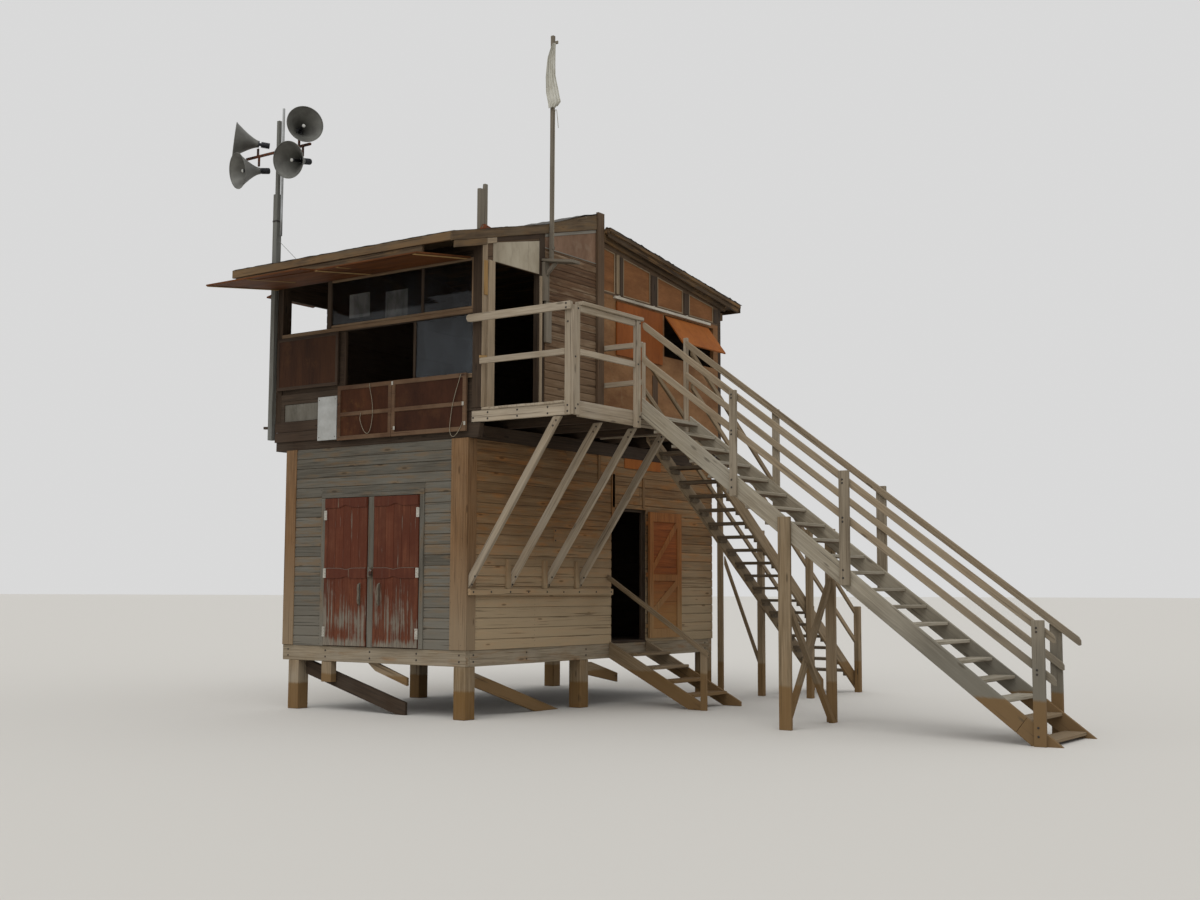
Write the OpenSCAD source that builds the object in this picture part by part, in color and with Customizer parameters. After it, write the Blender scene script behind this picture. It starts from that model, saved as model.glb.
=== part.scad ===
// Raised timber beach watch cabin: store hut below, cabin above, side balcony,
// one stair along the side, one stair to the rear, horn mast and flagpole.
// All drawing below uses the wall frame: X from the outer face of the hut's
// right wall, Y from the outer face of its front wall, Z from the ground.
// The helpers shift it so that the origin is under the near corner post.

/* [Lower hut] */
// width of the hut across its front
hut_w = 3150; // [2400:10:4200]
// depth of the hut along its side
hut_d = 5800; // [5400:10:6400]
// height of the hut wall foot above the ground
hut_z = 840; // [700:10:1000]
// height of the hut wall top
hut_top = 3440; // [3300:10:3600]
// thickness of the hut walls
wall_t = 80; // [60:2:100]
// side of the square foundation posts
post_s = 190; // [140:5:220]

/* [Doors] */
// height of the front doorway head above the ground
front_head_z = 2767; // [2600:1:2850]
// left edge of the front doorway
front_l = 2427; // [2300:1:2500]
// right edge of the front doorway
front_r = 755; // [700:1:850]
// width of the fixed strip between the two front doors
mullion_w = 99; // [60:1:140]
// thickness of the front door leaves
leaf_t = 40; // [30:1:50]
// near edge of the side doorway
side_y0 = 3083; // [3000:1:3200]
// far edge of the side doorway
side_y1 = 3950; // [3850:1:4000]

/* [Cabin] */
// distance of the cabin's left end from the hut's right wall face
cab_l = 3460; // [3300:10:3600]
// distance of the cabin's right wall face outside the hut's
cab_r = 206; // [150:1:260]
// cabin depth
cab_d = 5765; // [5600:5:5900]
// cabin floor level
floor_z = 3800; // [3700:10:3900]
// level of the front window head
head_z = 5700; // [5600:10:5800]

/* [Balcony] */
// outer edge of the balcony from the hut's right wall face
bal_x = 1600; // [1400:10:1700]
// depth of the balcony along the side
bal_d = 2560; // [2400:10:2650]
// rail height above the deck
rail_h = 1155; // [1000:5:1200]

/* [Main stair] */
// number of treads
main_n = 20; // [18:1:21]
// rise of each tread
main_rise = 193; // [185:1:196]
// going of each tread
main_go = 258; // [250:1:262]
// nose of the first tread from the hut's right wall face
main_x = 1800; // [1790:1:1820]
// near face of the main stair
main_y0 = 1345; // [1330:1:1360]
// far face of the main stair
main_y1 = 2520; // [2500:1:2530]

/* [Rear stair] */
// number of treads
rear_n = 19; // [18:1:20]
// rise of each tread
rear_rise = 181; // [178:1:186]
// going of each tread
rear_go = 254; // [250:1:260]
// inner face of the rear stair
rear_x0 = 905; // [900:1:940]

/* [Horns] */
// mouth diameter of each horn
horn_d = 496; // [460:4:560]
// length of each horn bell
horn_l = 325; // [300:5:380]

/* [Hidden] */

ox = post_s / 2;
oy = -post_s / 2;
// gap left between neighbouring pieces
g = 2;
// width of the timber trim round the front doorway
trim_w = 71;
deck_z = floor_z - 30;
joist_z = floor_z - 180;
leaf_y0 = -30;
hinge_y = leaf_y0 - 7;
door_w = (front_l - front_r - mullion_w) / 2;
leaf_w = door_w - 12;
leaf_z0 = hut_z + 8;
leaf_z1 = front_head_z - 6;
side_leaf_w = side_y1 - side_y0 - 12;
side_leaf_y = side_y1 + 15;
main_k = main_rise / main_go;
rear_k = rear_rise / rear_go;
ridge_y = 2500;
// top of the front slope and of the rear slope at the ridge, where the front one laps over
front_ridge_z = 6654;
rear_ridge_z = 6556;
// fall of each slope and thickness of its boarding
front_fall = 0.25;
rear_fall = 0.1394;
roof_t = 64;
// front face of the eave, back edge of the rear slope and left end of the roof
eave_y = -600;
rear_eave_y = 6150;
roof_l = 3720;
// levels in the cabin front: foot of the hanging shutters, lower sill, middle rail
shutter_z = 3520;
low_sill_z = 4240;
mid_rail_z = 4985;
// sills, rails and heads are this deep
rail_t = 60;
// depth of a framed field let into a panel, width of a shutter's edge frame
field_d = 14;
stile_w = 55;
// four framed fields in the upper side wall, near and far edge of each
side_fields = [[2566, 2873], [3077, 3766], [3961, 4656], [4835, 5539]];

// top and underside of the roof at a depth
function top(y) = y < ridge_y ? front_ridge_z - (ridge_y - y) * front_fall
  : rear_ridge_z - (y - ridge_y) * rear_fall;
function under(y) = top(y) - roof_t;

// upper edge of the framed fields in the side wall at a depth
function field_top(y) = 6308 - (y - 2566) * 0.1235;

// top edge of the main stringers at a width
function stair_line(x) = 3832 + (main_x - x) * main_k;

// a box between two corners
module slab(x0, x1, y0, y1, z0, z1) {
  translate([x0 + ox, y0 + oy, z0])
    cube([x1 - x0, y1 - y0, z1 - z0]);
}

// a plate cut in the X-Z plane, between two depths
module plate_xz(y0, y1, pts) {
  translate([ox, y1 + oy, 0])
    rotate([90, 0, 0])
      linear_extrude(height = y1 - y0) polygon(pts);
}

// a plate cut in the Y-Z plane, between two widths
module plate_yz(x0, x1, pts) {
  translate([x0 + ox, oy, 0])
    rotate([90, 0, 90])
      linear_extrude(height = x1 - x0) polygon(pts);
}

// a sloping bar in the X-Z plane given by its top edge, depth measured upright
module bar_xz(xa, za, xb, zb, d, y0, y1) {
  plate_xz(y0, y1, [[xa, za], [xa, za - d], [xb, zb - d], [xb, zb]]);
}

// a sloping rail in the X-Z plane whose two ends are cut back at top and bottom by c
module rail_xz(xa, za, xb, zb, d, y0, y1, c) {
  k = (zb - za) / (xb - xa);
  plate_xz(y0, y1, [[xa, za - c], [xa, za - d + c], [xa + c, za - d + c * k], [xb - c, zb - d - c * k],
    [xb, zb - d + c], [xb, zb - c], [xb - c, zb - c * k], [xa + c, za + c * k]]);
}

// a sloping bar in the Y-Z plane given by its top edge
module bar_yz(ya, za, yb, zb, d, x0, x1) {
  plate_yz(x0, x1, [[ya, za], [ya, za - d], [yb, zb - d], [yb, zb]]);
}

// Lower hut
module foundation_posts() {
  color("#8a7350")
    for (x = [-post_s, -hut_w + 60], y = [0, 2370, hut_d - post_s])
      slab(x, x + post_s, y, y + post_s, 0, 640);
}

module under_braces() {
  color("#5f4b36") {
    plate_xz(120, 165, [[-2880, 638], [-2880, 460], [-1235, 0], [-1085, 0], [-1085, 158], [-2802, 638]]);
    plate_xz(60, 105, [[-1690, 638], [-1560, 540], [-1010, 370], [-1010, 470], [-1520, 638]]);
    plate_yz(-185, -145, [[193, 590], [193, 430], [1590, 0], [2090, 0], [340, 560]]);
    plate_yz(-90, -50, [[2562, 600], [2562, 440], [3330, 300], [3330, 424], [2700, 600]]);
    slab(-2478, -2299, 10, 110, 372, 638);
  }
}

module sill_beams() {
  color("#8f8468") {
    slab(-hut_w - 55, 0, 0, 90, 640, hut_z);
    slab(-hut_w - 55, 0, hut_d - 90, hut_d, 640, hut_z);
    slab(-90, 0, 90 + g, hut_d - 90 - g, 640, hut_z);
    slab(-hut_w, -hut_w + 90, 90 + g, hut_d - 90 - g, 640, hut_z);
    slab(-hut_w + 90 + g, -90 - g, 2420, 2510, 640, hut_z);
  }
}

module hut_floor() {
  color("#8d7a5c")
    slab(-hut_w + wall_t + g, -wall_t - g, wall_t + 8, hut_d - wall_t - g, hut_z, hut_z + 30);
}

module hut_corner_boards() {
  color("#a08556") {
    slab(-247, -1, -22, 0, hut_z, hut_top);
    slab(0, 22, -22, 160, hut_z, hut_top);
    slab(-hut_w - 47, -hut_w + 152, -22, 0, hut_z, hut_top);
    slab(-hut_w - 22, -hut_w, 1, 160, hut_z, hut_top);
  }
}

module front_wall() {
  color("#878572") {
    slab(-hut_w, -front_l - trim_w - g, 0, wall_t, hut_z, hut_top);
    slab(-front_r + trim_w + g, 0, 0, wall_t, hut_z, hut_top);
    slab(-front_l - trim_w, -front_r + trim_w, 0, wall_t, front_head_z + trim_w + g, hut_top);
  }
}

module side_wall() {
  color("#9a8a66") {
    slab(-wall_t, 0, wall_t + g, side_y0, hut_z, hut_top);
    slab(-wall_t, 0, side_y1, hut_d, hut_z, hut_top);
    slab(-wall_t, 0, side_y0 + g, side_y1 - g, 2725, hut_top);
  }
}

module back_walls() {
  color("#8b7f66") {
    slab(-hut_w, -wall_t - g, hut_d - wall_t, hut_d, hut_z, hut_top);
    slab(-hut_w, -hut_w + wall_t, wall_t + g, hut_d - wall_t - g, hut_z, hut_top);
  }
}

module front_door_frame() {
  mullion_x = -front_l + door_w;
  color("#8d8b7a") {
    slab(-front_l - trim_w, -front_l, -25, wall_t - 5, hut_z, front_head_z);
    slab(-front_r, -front_r + trim_w, -25, wall_t - 5, hut_z, front_head_z);
    slab(-front_l - trim_w, -front_r + trim_w, -25, wall_t - 5, front_head_z + 1, front_head_z + trim_w);
    slab(mullion_x, mullion_x + mullion_w, -25, wall_t - 5, hut_z, front_head_z - g);
    slab(mullion_x + 14, mullion_x + mullion_w - 14, -45, -25, 1728, 1860);
  }
}

// height of a shaped rail's wave at a share of its length
function wave(t) = exp(-pow((t - 0.5) / 0.1, 2));

// a rail on the face of a front leaf, its lower edge rising and its upper edge dipping at the middle
module shaped_rail(x0, w, z0, z1, rise, dip) {
  shares = [0, for (i = [0:12]) 0.28 + 0.44 * i / 12, 1];
  low = [for (t = shares) [x0 + w * t, z0 + rise * wave(t)]];
  high = [for (t = shares) [x0 + w * (1 - t), z1 - dip * wave(t)]];
  plate_xz(leaf_y0 - 15, leaf_y0, concat(low, high));
}

// a front leaf drawn from its hinge edge xe; s is 1 for the left leaf and -1 for the right one
module front_leaf(s, xe) {
  x0 = s > 0 ? xe + 2 : xe - leaf_w;
  w = leaf_w - 2;
  slab(x0, x0 + w, leaf_y0, leaf_y0 + leaf_t, leaf_z0, leaf_z1);
  shaped_rail(s > 0 ? x0 + 52 : x0 + 8, w - 60, 1716, 1850, 26, 18);
  shaped_rail(x0 + 8, w - 16, 2636, leaf_z1, 34, 0);
  for (z = [[hut_z + 120, 130], [hut_z + 885, 122], [hut_z + 1642, 122]]) {
    slab(xe + (s > 0 ? -2 : -40), xe + (s > 0 ? 40 : 2), hinge_y - 2, leaf_y0, z[0], z[0] + z[1]);
    translate([xe - 2 * s + ox, hinge_y + oy, z[0]])
      cylinder(r = 7, h = z[1], $fn = 20);
  }
  pull_x = xe + 660 * s;
  plate_yz(pull_x - 14, pull_x + 14, [[leaf_y0, 1368], [leaf_y0 - 34, 1392], [leaf_y0 - 44, 1440],
    [leaf_y0 - 36, 1515], [leaf_y0 - 44, 1590], [leaf_y0 - 34, 1638], [leaf_y0, 1662]]);
}

module front_door_left() {
  color("#7a2f22")
    front_leaf(1, -front_l + 4);
}

module front_door_right() {
  color("#7a2f22")
    front_leaf(-1, -front_r - 4);
}

module side_door_frame() {
  color("#4d3524") {
    slab(-wall_t, -42, side_y0 + g, side_y0 + 32, hut_z + 30, 2689);
    slab(-wall_t, -42, side_y1 - 32, side_y1 - g, hut_z + 30, 2689);
    slab(-wall_t, -42, side_y0 + g, side_y1 - g, 2690, 2723);
    slab(-wall_t, 15, side_y0 + g, side_y1 - g, hut_z, hut_z + 28);
  }
}

module side_door() {
  y0 = side_leaf_y;
  y1 = side_leaf_y + side_leaf_w;
  color("#a5643a") {
    slab(35, 57, y0, y1, 890, 2700);
    slab(57, 75, y0, y0 + 96, 890, 2700);
    slab(57, 75, y1 - 118, y1, 890, 2700);
    for (z = [[890, 1020], [1712, 1804], [2565, 2700]])
      slab(57, 75, y0 + 96, y1 - 118, z[0], z[1]);
    for (b = [[1846, 1960, 2492, 2566, 52], [1215, 1322, 1630, 1713, 46]])
      plate_yz(57, 74, [[y0 + 96, b[0]], [y1 - 118, b[2]], [y1 - 118, b[3]], [y1 - 118 - b[4], b[3]],
        [y0 + 96, b[1]]]);
    for (z = [1035, 1765, 2505]) {
      slab(17, 35, 3959, 3995, z, z + 60);
      translate([20 + ox, 3955 + oy, z])
        cylinder(r = 7, h = 60, $fn = 20);
    }
  }
}

module side_steps() {
  color("#7b6a4d") {
    for (y = [side_y0 - 42, side_y1 + g])
      plate_xz(y, y + 40, [[g, 868], [g, 640], [1290, 0], [1560, 0], [1560, 60]]);
    for (k = [1:4])
      slab(305 * k - 130, 305 * k + 130, side_y0, side_y1, 868 - 172 * k - 22, 868 - 172 * k + 18);
  }
}

module side_steps_rail() {
  color("#8b7a5c") {
    bar_xz(24, 1790, 1640, 770, 75, side_y0 - 120, side_y0 - 85);
    slab(1500, 1590, side_y0 - 84, side_y0 - 43, 0, 800);
  }
}

// Middle timbers
module hut_top_beams() {
  color("#3d2f25") {
    for (y = [0, hut_d - 125])
      plate_xz(y, y + 90, [[-3430, hut_top], [162, hut_top], [190, joist_z], [-3430, joist_z]]);
    slab(-90, 0, 90 + g, hut_d - 125 - g, hut_top, joist_z);
    slab(-hut_w, -hut_w + 90, 90 + g, hut_d - 125 - g, hut_top, joist_z);
    slab(-3430, -3340, 90 + g, hut_d - 125 - g, hut_top, joist_z);
  }
}

module floor_joists() {
  color("#54432f") {
    for (y = [805, 1570, 2300])
      slab(-3430, 1552, y, y + 50, joist_z, deck_z);
    for (y = [3050, 3850, 4650, 5620])
      slab(-3430, cab_r, y, y + 50, joist_z, deck_z);
    slab(-3430, 40, 12, 57, joist_z, deck_z);
  }
}

module cabin_floor() {
  color("#6b5a42")
    slab(-cab_l, cab_r, 0, cab_d, deck_z, floor_z);
}

module balcony_deck() {
  color("#978a70")
    slab(cab_r + g, bal_x - 2, -6, bal_d, deck_z, floor_z);
}

module brace_ledger() {
  color("#8b7c5c") {
    slab(23, 68, 0, 3050, 1510, 1590);
    slab(0, 22, 163, 3050, 1510, 1590);
    for (y = [740, 1500, 2211])
      slab(0, 40, y, y + 85, 1592, 1957);
    slab(0, 20, 1749, 2898, 2199, 2385);
  }
}

module balcony_braces() {
  color("#a0906f")
    for (y = [[12, 23], [829, 2], [1590, 2], [2300, 2]])
      plate_xz(y[0], y[0] + 50, [[y[1], 1592], [1414, joist_z - g], [1298, joist_z - g], [y[1], 1758]]);
}

module balcony_beams() {
  color("#a3977c") {
    slab(43, 1510, 12, 57, 3628, deck_z);
    slab(1555, 1600, 132, 2560, 3610, deck_z);
    slab(cab_r + g, 1552, 2512, 2557, joist_z, deck_z);
  }
}

module balcony_posts() {
  color("#a3977c") {
    slab(1513, 1603, -50, -8, 3620, 4955);
    slab(1604, 1644, -50, 85, 3620, 4915);
    slab(1602, 1662, 1256, 1343, 3583, 4923);
    slab(1520, 1580, 2562, 2604, 3640, 4898);
    slab(860, 900, 2562, 2604, 3640, 4898);
  }
}

module balcony_rails() {
  color("#a3977c") {
    plate_xz(-92, -52, [[22, 4908], [45, 4868], [82, 4860], [1618, 4860], [1618, 4955], [60, 4955],
      [30, 4940]]);
    slab(1560, 1680, 87, 1389, 4925, 4970);
    slab(1604, 1640, 87, 1254, 4850, 4923);
    slab(cab_r + g, 1511, -50, -12, 4334, 4406);
    slab(1604, 1640, 87, 1254, 4334, 4406);
    slab(cab_r + g, 858, 2570, 2604, 4840, 4915);
    slab(cab_r + g, 858, 2570, 2604, 4330, 4400);
  }
}

// Cabin
module cabin_posts() {
  color("#5a4a38") {
    slab(-3460, -3352, 0, 120, floor_z, under(0) - g);
    slab(-3460, -3370, cab_d - 90, cab_d, floor_z, under(cab_d) - g);
    slab(cab_r - 100, cab_r, cab_d - 90, cab_d, floor_z, under(cab_d) - g);
    slab(cab_r - 143, cab_r, -8, 88, floor_z + g, 5890);
    slab(cab_r - 12, cab_r + 22, 90, 225, floor_z + g, 5658);
    slab(cab_r + g, cab_r + 20, 18, 84, 5205, 5640);
    slab(cab_r - 90, cab_r, 1140, 1260, floor_z, under(1140) - g);
    slab(cab_r + g, cab_r + 24, 1142, 1186, floor_z + g, 5640);
    slab(cab_r - 80, cab_r - g, 2406, 2551, floor_z, under(2551) - g);
    slab(cab_r + g, cab_r + 46, 2406, 2551, floor_z + g, 6756);
  }
}

module cabin_front_boards() {
  x0 = -3350;
  x1 = cab_r - 145;
  color("#6a5039") {
    slab(x0, x1, 0, rail_t, mid_rail_z, mid_rail_z + rail_t);
    slab(x0, x1, 0, rail_t, head_z, 5880);
    slab(-3412, -2249, -26, -2, 4266, mid_rail_z - 5);
    slab(x0, -2180, 20, 45, 4211, mid_rail_z - g);
    slab(x0, -2180, 0, rail_t, 4117, 4209);
    difference() {
      slab(x0, -2180, 0, rail_t, floor_z, 4115);
      slab(-3281, -2640, -1, 18, 3836, 4070);
    }
    slab(-3440, -2592, -24, -2, 3560, 3690);
    slab(-3440, -2592, -24, -2, 3694, 3826);
    slab(-2178, x1, 0, rail_t, low_sill_z - rail_t, low_sill_z);
    slab(-2178, x1, 20, 45, floor_z, low_sill_z - rail_t - g);
  }
}

module front_window_frames() {
  color("#8a7a62") {
    slab(-2497, -2427, 5, 60, 5047, head_z - g);
    slab(30, 60, 5, 55, 5047, head_z - g);
    slab(-2425, 28, 10, 50, 5047, 5082);
    slab(-2425, 28, 10, 50, head_z - 37, head_z - g);
    slab(-815, -781, 10, 50, 5084, head_z - 39);
    slab(-940, -902, 10, 50, 4242, 4983);
    slab(-2178, -2140, 10, 50, 4242, 4983);
  }
}

module front_glass() {
  color("#5b6a6c") {
    slab(-2423, -817, 26, 32, 5084, head_z - 39);
    slab(-779, 28, 26, 32, 5084, head_z - 39);
    slab(-900, 58, 26, 32, 4242, 4983);
  }
}

// a shutter panel: an edge frame and a middle rail standing proud of a sheet
module shutter(x0, x1) {
  y0 = -62;
  rail_z = 3860;
  difference() {
    slab(x0, x1, y0, y0 + 34, shutter_z, low_sill_z);
    slab(x0 + stile_w, x1 - stile_w, y0 - 1, y0 + field_d, shutter_z + stile_w, rail_z - 25);
    slab(x0 + stile_w, x1 - stile_w, y0 - 1, y0 + field_d, rail_z + 25, low_sill_z - stile_w);
  }
}

module front_shutters() {
  color("#5f3526") {
    shutter(-2207, -1243);
    shutter(-1237, 10);
  }
}

module sign_board() {
  color("#c9c5bb")
    slab(-2589, -2237, -45, -27, 3540, 4120);
}

module front_awnings() {
  color("#9a6238") {
    plate_yz(-3460, -1700, [[-8, 5705], [-8, 5685], [-1251, 5525], [-1251, 5545]]);
    plate_yz(-1690, 20, [[-8, 5705], [-8, 5685], [-1000, 5557], [-1000, 5577]]);
  }
}

module cabin_side_wall() {
  color("#9b8b72") {
    plate_yz(cab_r - 40, cab_r, [[90, 5660], [1138, 5660], [1138, under(1138) - g], [90, under(90) - g]]);
    slab(cab_r - 40, cab_r, 1262, 2404, floor_z, 6028);
    plate_yz(cab_r - 30, cab_r - 4, [[1262, 6030], [2404, 6030], [2404, under(2404) - g],
      [1262, under(1262) - g]]);
    slab(cab_r - 60, cab_r, 2553, cab_d - 92, floor_z, 4980);
    slab(cab_r - 60, cab_r, 2553, 2893, 4982, 5600);
    slab(cab_r - 60, cab_r, 5540, cab_d - 92, 4982, 5600);
    slab(cab_r - 60, cab_r, 2553, cab_d - 92, 5602, 5660);
    slab(cab_r - 60, cab_r, 4085, 4140, 4982, 5600);
    slab(cab_r + g, cab_r + 40, 2829, 5400, 5625, 5660);
    difference() {
      plate_yz(cab_r - 40, cab_r, [[2553, 5662], [cab_d - 92, 5662], [cab_d - 92, under(cab_d - 92) - g],
        [2553, under(2553) - g]]);
      for (f = side_fields)
        plate_yz(cab_r - field_d, cab_r + 1, [[f[0], 5690], [f[1], 5690], [f[1], field_top(f[1])],
          [f[0], field_top(f[0])]]);
    }
  }
}

module side_shutter() {
  color("#a9622f")
    slab(cab_r + g, cab_r + 28, 2893, 4061, 4836, 5590);
}

module side_awning() {
  color("#b3692f")
    plate_xz(4163, 5384, [[cab_r + g, 5590], [cab_r + g, 5565], [506, 5150], [524, 5164]]);
}

module cabin_left_wall() {
  color("#5f4f3c") {
    slab(-cab_l, -cab_l + 40, 122, 5673, floor_z, 5100);
    slab(-cab_l, -cab_l + 40, 122, 219, 5102, 5560);
    slab(-cab_l, -cab_l + 40, 929, 5673, 5102, 5560);
    plate_yz(-cab_l, -cab_l + 40, [[122, 5562], [5673, 5562], [5673, under(5673) - g],
      [ridge_y, under(ridge_y) - g], [ridge_y - g, under(ridge_y - g) - g], [122, under(122) - g]]);
    bar_xz(-3735, 3806, -3462, 3788, 36, 34, 70);
  }
}

module left_awning() {
  color("#8f5d38")
    plate_xz(75, 958, [[-cab_l - g, 5712], [-cab_l - g, 5692], [-cab_l - 322, 5622], [-cab_l - 322, 5642]]);
}

module cabin_rear_wall() {
  color("#6a5a45") {
    slab(-3368, cab_r - 102, cab_d - 40, cab_d, floor_z, under(cab_d) - g);
  }
}

// a strip of a roof slope between two widths and two depths
module roof_strip(x0, x1, y0, y1) {
  plate_yz(x0, x1, [[y0, under(y0)], [y1, under(y1)], [y1, top(y1)], [y0, top(y0)]]);
}

// a board along a slope, from a depth under the roof top to another
module verge(x0, x1, y0, y1, d0, d1) {
  plate_yz(x0, x1, [[y0, top(y0) - d1], [y1, top(y1) - d1], [y1, top(y1) - d0], [y0, top(y0) - d0]]);
}

module roof_slopes() {
  color("#4a4038") {
    roof_strip(-roof_l, -3458, eave_y + 42, -64);
    roof_strip(-roof_l, -3458, 34, ridge_y - g);
    roof_strip(-3456, cab_r, eave_y + 42, ridge_y - g);
    roof_strip(-roof_l, cab_r, ridge_y, rear_eave_y);
    roof_strip(cab_r + g, cab_r + 124, 2554, rear_eave_y);
    slab(-3418, cab_r - 82, 2420, ridge_y - 4, 6380, under(2420) - g);
  }
}

module roof_fascias() {
  // front face and foot of the upper eave timber
  z0 = top(eave_y) - 105;
  color("#5c5146") {
    slab(-roof_l, 204, eave_y, eave_y + 40, z0, top(eave_y));
    slab(-roof_l + 70, -270, eave_y + 14, eave_y + 54, z0 - 86, z0 - g);
    verge(cab_r + g, 230, eave_y - 6, 2404, 0, 118);
    verge(cab_r + g, 226, eave_y + 44, 60, 120, 205);
    verge(cab_r + 92, cab_r + 124, 2554, 6120, roof_t + g, 130);
    verge(cab_r + 126, cab_r + 146, 2554, rear_eave_y, 4, 56);
    verge(cab_r + g, cab_r + 48, 2554, 5836, roof_t + g, 178);
    slab(110, 204, cab_d + g, 5836, 5766, 5884);
    slab(-roof_l, cab_r + 122, rear_eave_y + g, rear_eave_y + 32,
      top(rear_eave_y) - 118, top(rear_eave_y) - 6);
    verge(-roof_l + 4, -roof_l + 44, eave_y + 56, -70, roof_t + g, 180);
    verge(-roof_l + 4, -roof_l + 44, 40, 2490, roof_t + g, 180);
    verge(-roof_l + 4, -roof_l + 44, 2510, 6120, roof_t + g, 180);
    plate_yz(188, 230, [[-100, top(-100) + g], [60, top(60) + g], [60, 6600], [6, 6600], [0, 6530],
      [-100, 6520]]);
  }
}

// Main stair
module main_stringers() {
  x0 = 1668;
  color("#a69a80")
    for (y = [main_y0, main_y1 - 45])
      bar_xz(x0, stair_line(x0), 6870, 120, 250, y, y + 45);
}

module main_treads() {
  color("#a09378")
    for (k = [0:main_n - 1]) {
      x = main_x + main_go * k;
      z = 3738 - main_rise * k;
      slab(max(x - 240, bal_x + 4), x, main_y0 + 45, main_y1 - 45, z - 40, z);
    }
}

module main_posts() {
  color("#a69a80")
    for (p = [[2945, 90, 2690, 3950], [4360, 120, 1640, 2929], [6520, 130, 0, 1288]])
      for (y = [main_y0 - 46, main_y1 + 1])
        slab(p[0], p[0] + p[1], y, y + 45, p[2], p[3]);
}

module main_rails() {
  x0 = 1680;
  x1 = 6750;
  color("#a69a80")
    for (y = [main_y0 + 3, main_y1 - 38])
      for (h = [1000, 567])
        rail_xz(x0, stair_line(x0) + h, x1, stair_line(x1) + h, 95, y, y + 35, 22);
}

module main_supports() {
  color("#8c7a58") {
    slab(3600, 3720, main_y0 - 46, main_y0 - 1, 0, 2428);
    slab(3570, 3700, main_y1 + 1, main_y1 + 46, 0, 2428);
    bar_yz(main_y0, 1500, main_y1, 200, 120, 3655, 3695);
    bar_yz(main_y0, 200, main_y1, 1500, 120, 3605, 3645);
  }
}

// Rear stair
module rear_stringers() {
  color("#8f8165")
    for (x = [rear_x0, bal_x - 40])
      bar_yz(2606, 3790, 7700, 3790 - (7700 - 2606) * rear_k, 230, x, x + 40);
}

module rear_treads() {
  color("#8f8165")
    for (k = [1:rear_n]) {
      y = 2606 + rear_go * k;
      z = floor_z - rear_rise * k;
      slab(rear_x0 + 40, bal_x - 40, y - 250, y, z - 40, z);
      for (x = [rear_x0 + 41, bal_x - 81])
        slab(x, x + 40, y - 215, y - 35, z - 100, z - 40);
    }
}

module rear_rails() {
  color("#8f8165")
    for (x = [rear_x0 - 37, bal_x + 2])
      for (h = [950, 500])
        bar_yz(2606, 3790 + h, 7500, 3790 + h - (7500 - 2606) * rear_k, 80, x, x + 35);
}

module rear_supports() {
  color("#7d6c4e") {
    for (x = [rear_x0 - 80, bal_x + 39]) {
      slab(x, x + 41, 5800, 5890, 0, 2480);
      slab(x, x + 41, 7420, 7510, 0, 1330);
    }
    slab(100, 190, 5805, 5850, 0, joist_z);
    bar_xz(195, 2100, 820, 500, 130, 5852, 5890);
  }
}

// Mast, horns and flagpole
module speaker_mast() {
  color("#6e5a44") {
    slab(-3542, -3462, -60, 30, 3600, 7034);
    slab(-3530, -3480, -40, 10, 7034, 8086);
    translate([-3420 + ox, -15 + oy, 6960])
      cylinder(d = 34, h = 1290, $fn = 20);
    translate([-3112 + ox, -15 + oy, 6080])
      rotate([0, -49.8, 0])
        cylinder(d = 6, h = 445, $fn = 14);
  }
}

module speaker_arms() {
  color("#4b3a33") {
    slab(-4121, -2826, -72, -42, 7615, 7647);
    for (b = [[-3056, 7640, 7780], [-2977, 7480, 7620], [-3885, 7640, 7748], [-3860, 7487, 7620]])
      slab(b[0] - 18, b[0] + 18, -66, -48, b[1], b[2]);
  }
}

// the four horns: mouth centre, heading and upward tilt of each
HORNS = [[-2775, -217, 7856, -30, 2], [-2922, -368, 7348, -80, -12],
  [-4093, -303, 7847, -130, 6], [-3948, -363, 7367, -106, -10]];

// children drawn along a horn's own axis, its mouth at 0 and its throat below
module on_horn(h) {
  translate([h[0] + ox, h[1] + oy, h[2]])
    rotate([0, 0, h[3]])
      rotate([0, 90 - h[4], 0])
        children();
}

// outer radius of a bell at a share of its length, mouth first
function bell_r(t) = 48 + (horn_d / 2 - 48) * pow(1 - t, 1.35);

// a shell turned from a closed loop of [radius, height] points, with flat facets round the axis
module turned(loop, sides) {
  n = len(loop);
  points = [for (k = [0:sides - 1]) for (p = loop)
    [p[0] * cos(360 * k / sides), p[0] * sin(360 * k / sides), p[1]]];
  faces = [for (k = [0:sides - 1]) for (i = [0:n - 1])
    [k * n + i, k * n + (i + 1) % n, (k + 1) % sides * n + (i + 1) % n, (k + 1) % sides * n + i]];
  polyhedron(points = points, faces = faces, convexity = 4);
}

// a bell of sheet with a turned rim, open at the throat
module bell() {
  shares = [for (i = [0:6]) i / 6];
  wall = 5;
  outer = [for (t = shares) [bell_r(t), -horn_l * t]];
  inner = [for (i = [6:-1:0]) [bell_r(shares[i]) - wall, -horn_l * shares[i] * 0.985]];
  rim = [[horn_d / 2 - 6, 5], [horn_d / 2 + 1, 5], [horn_d / 2 + 4, 0], [horn_d / 2 + 2, -7]];
  turned(concat(inner, rim, [for (i = [1:6]) outer[i]]), 30);
}

module speaker_horns() {
  color("#8a8a88")
    for (h = HORNS)
      on_horn(h) bell();
}

// the part behind and inside each bell: ribbed driver, neck, back plate and the inner tube with its round tip
module speaker_drivers() {
  tip = -66;
  color("#55575a")
    for (h = HORNS)
      on_horn(h) {
        translate([0, 0, -horn_l - 14])
          cylinder(r = 47, h = 13, $fn = 24);
        translate([0, 0, -horn_l - 40])
          cylinder(r = 20, h = 27, $fn = 16);
        translate([0, 0, -horn_l - 155])
          cylinder(r = 43, h = 116, $fn = 24);
        translate([0, 0, -horn_l - 1])
          cylinder(r = 22, h = horn_l + tip - 20, $fn = 16);
        translate([0, 0, tip - 22])
          cylinder(r1 = 26, r2 = 12, h = 22, $fn = 20);
      }
}

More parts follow.
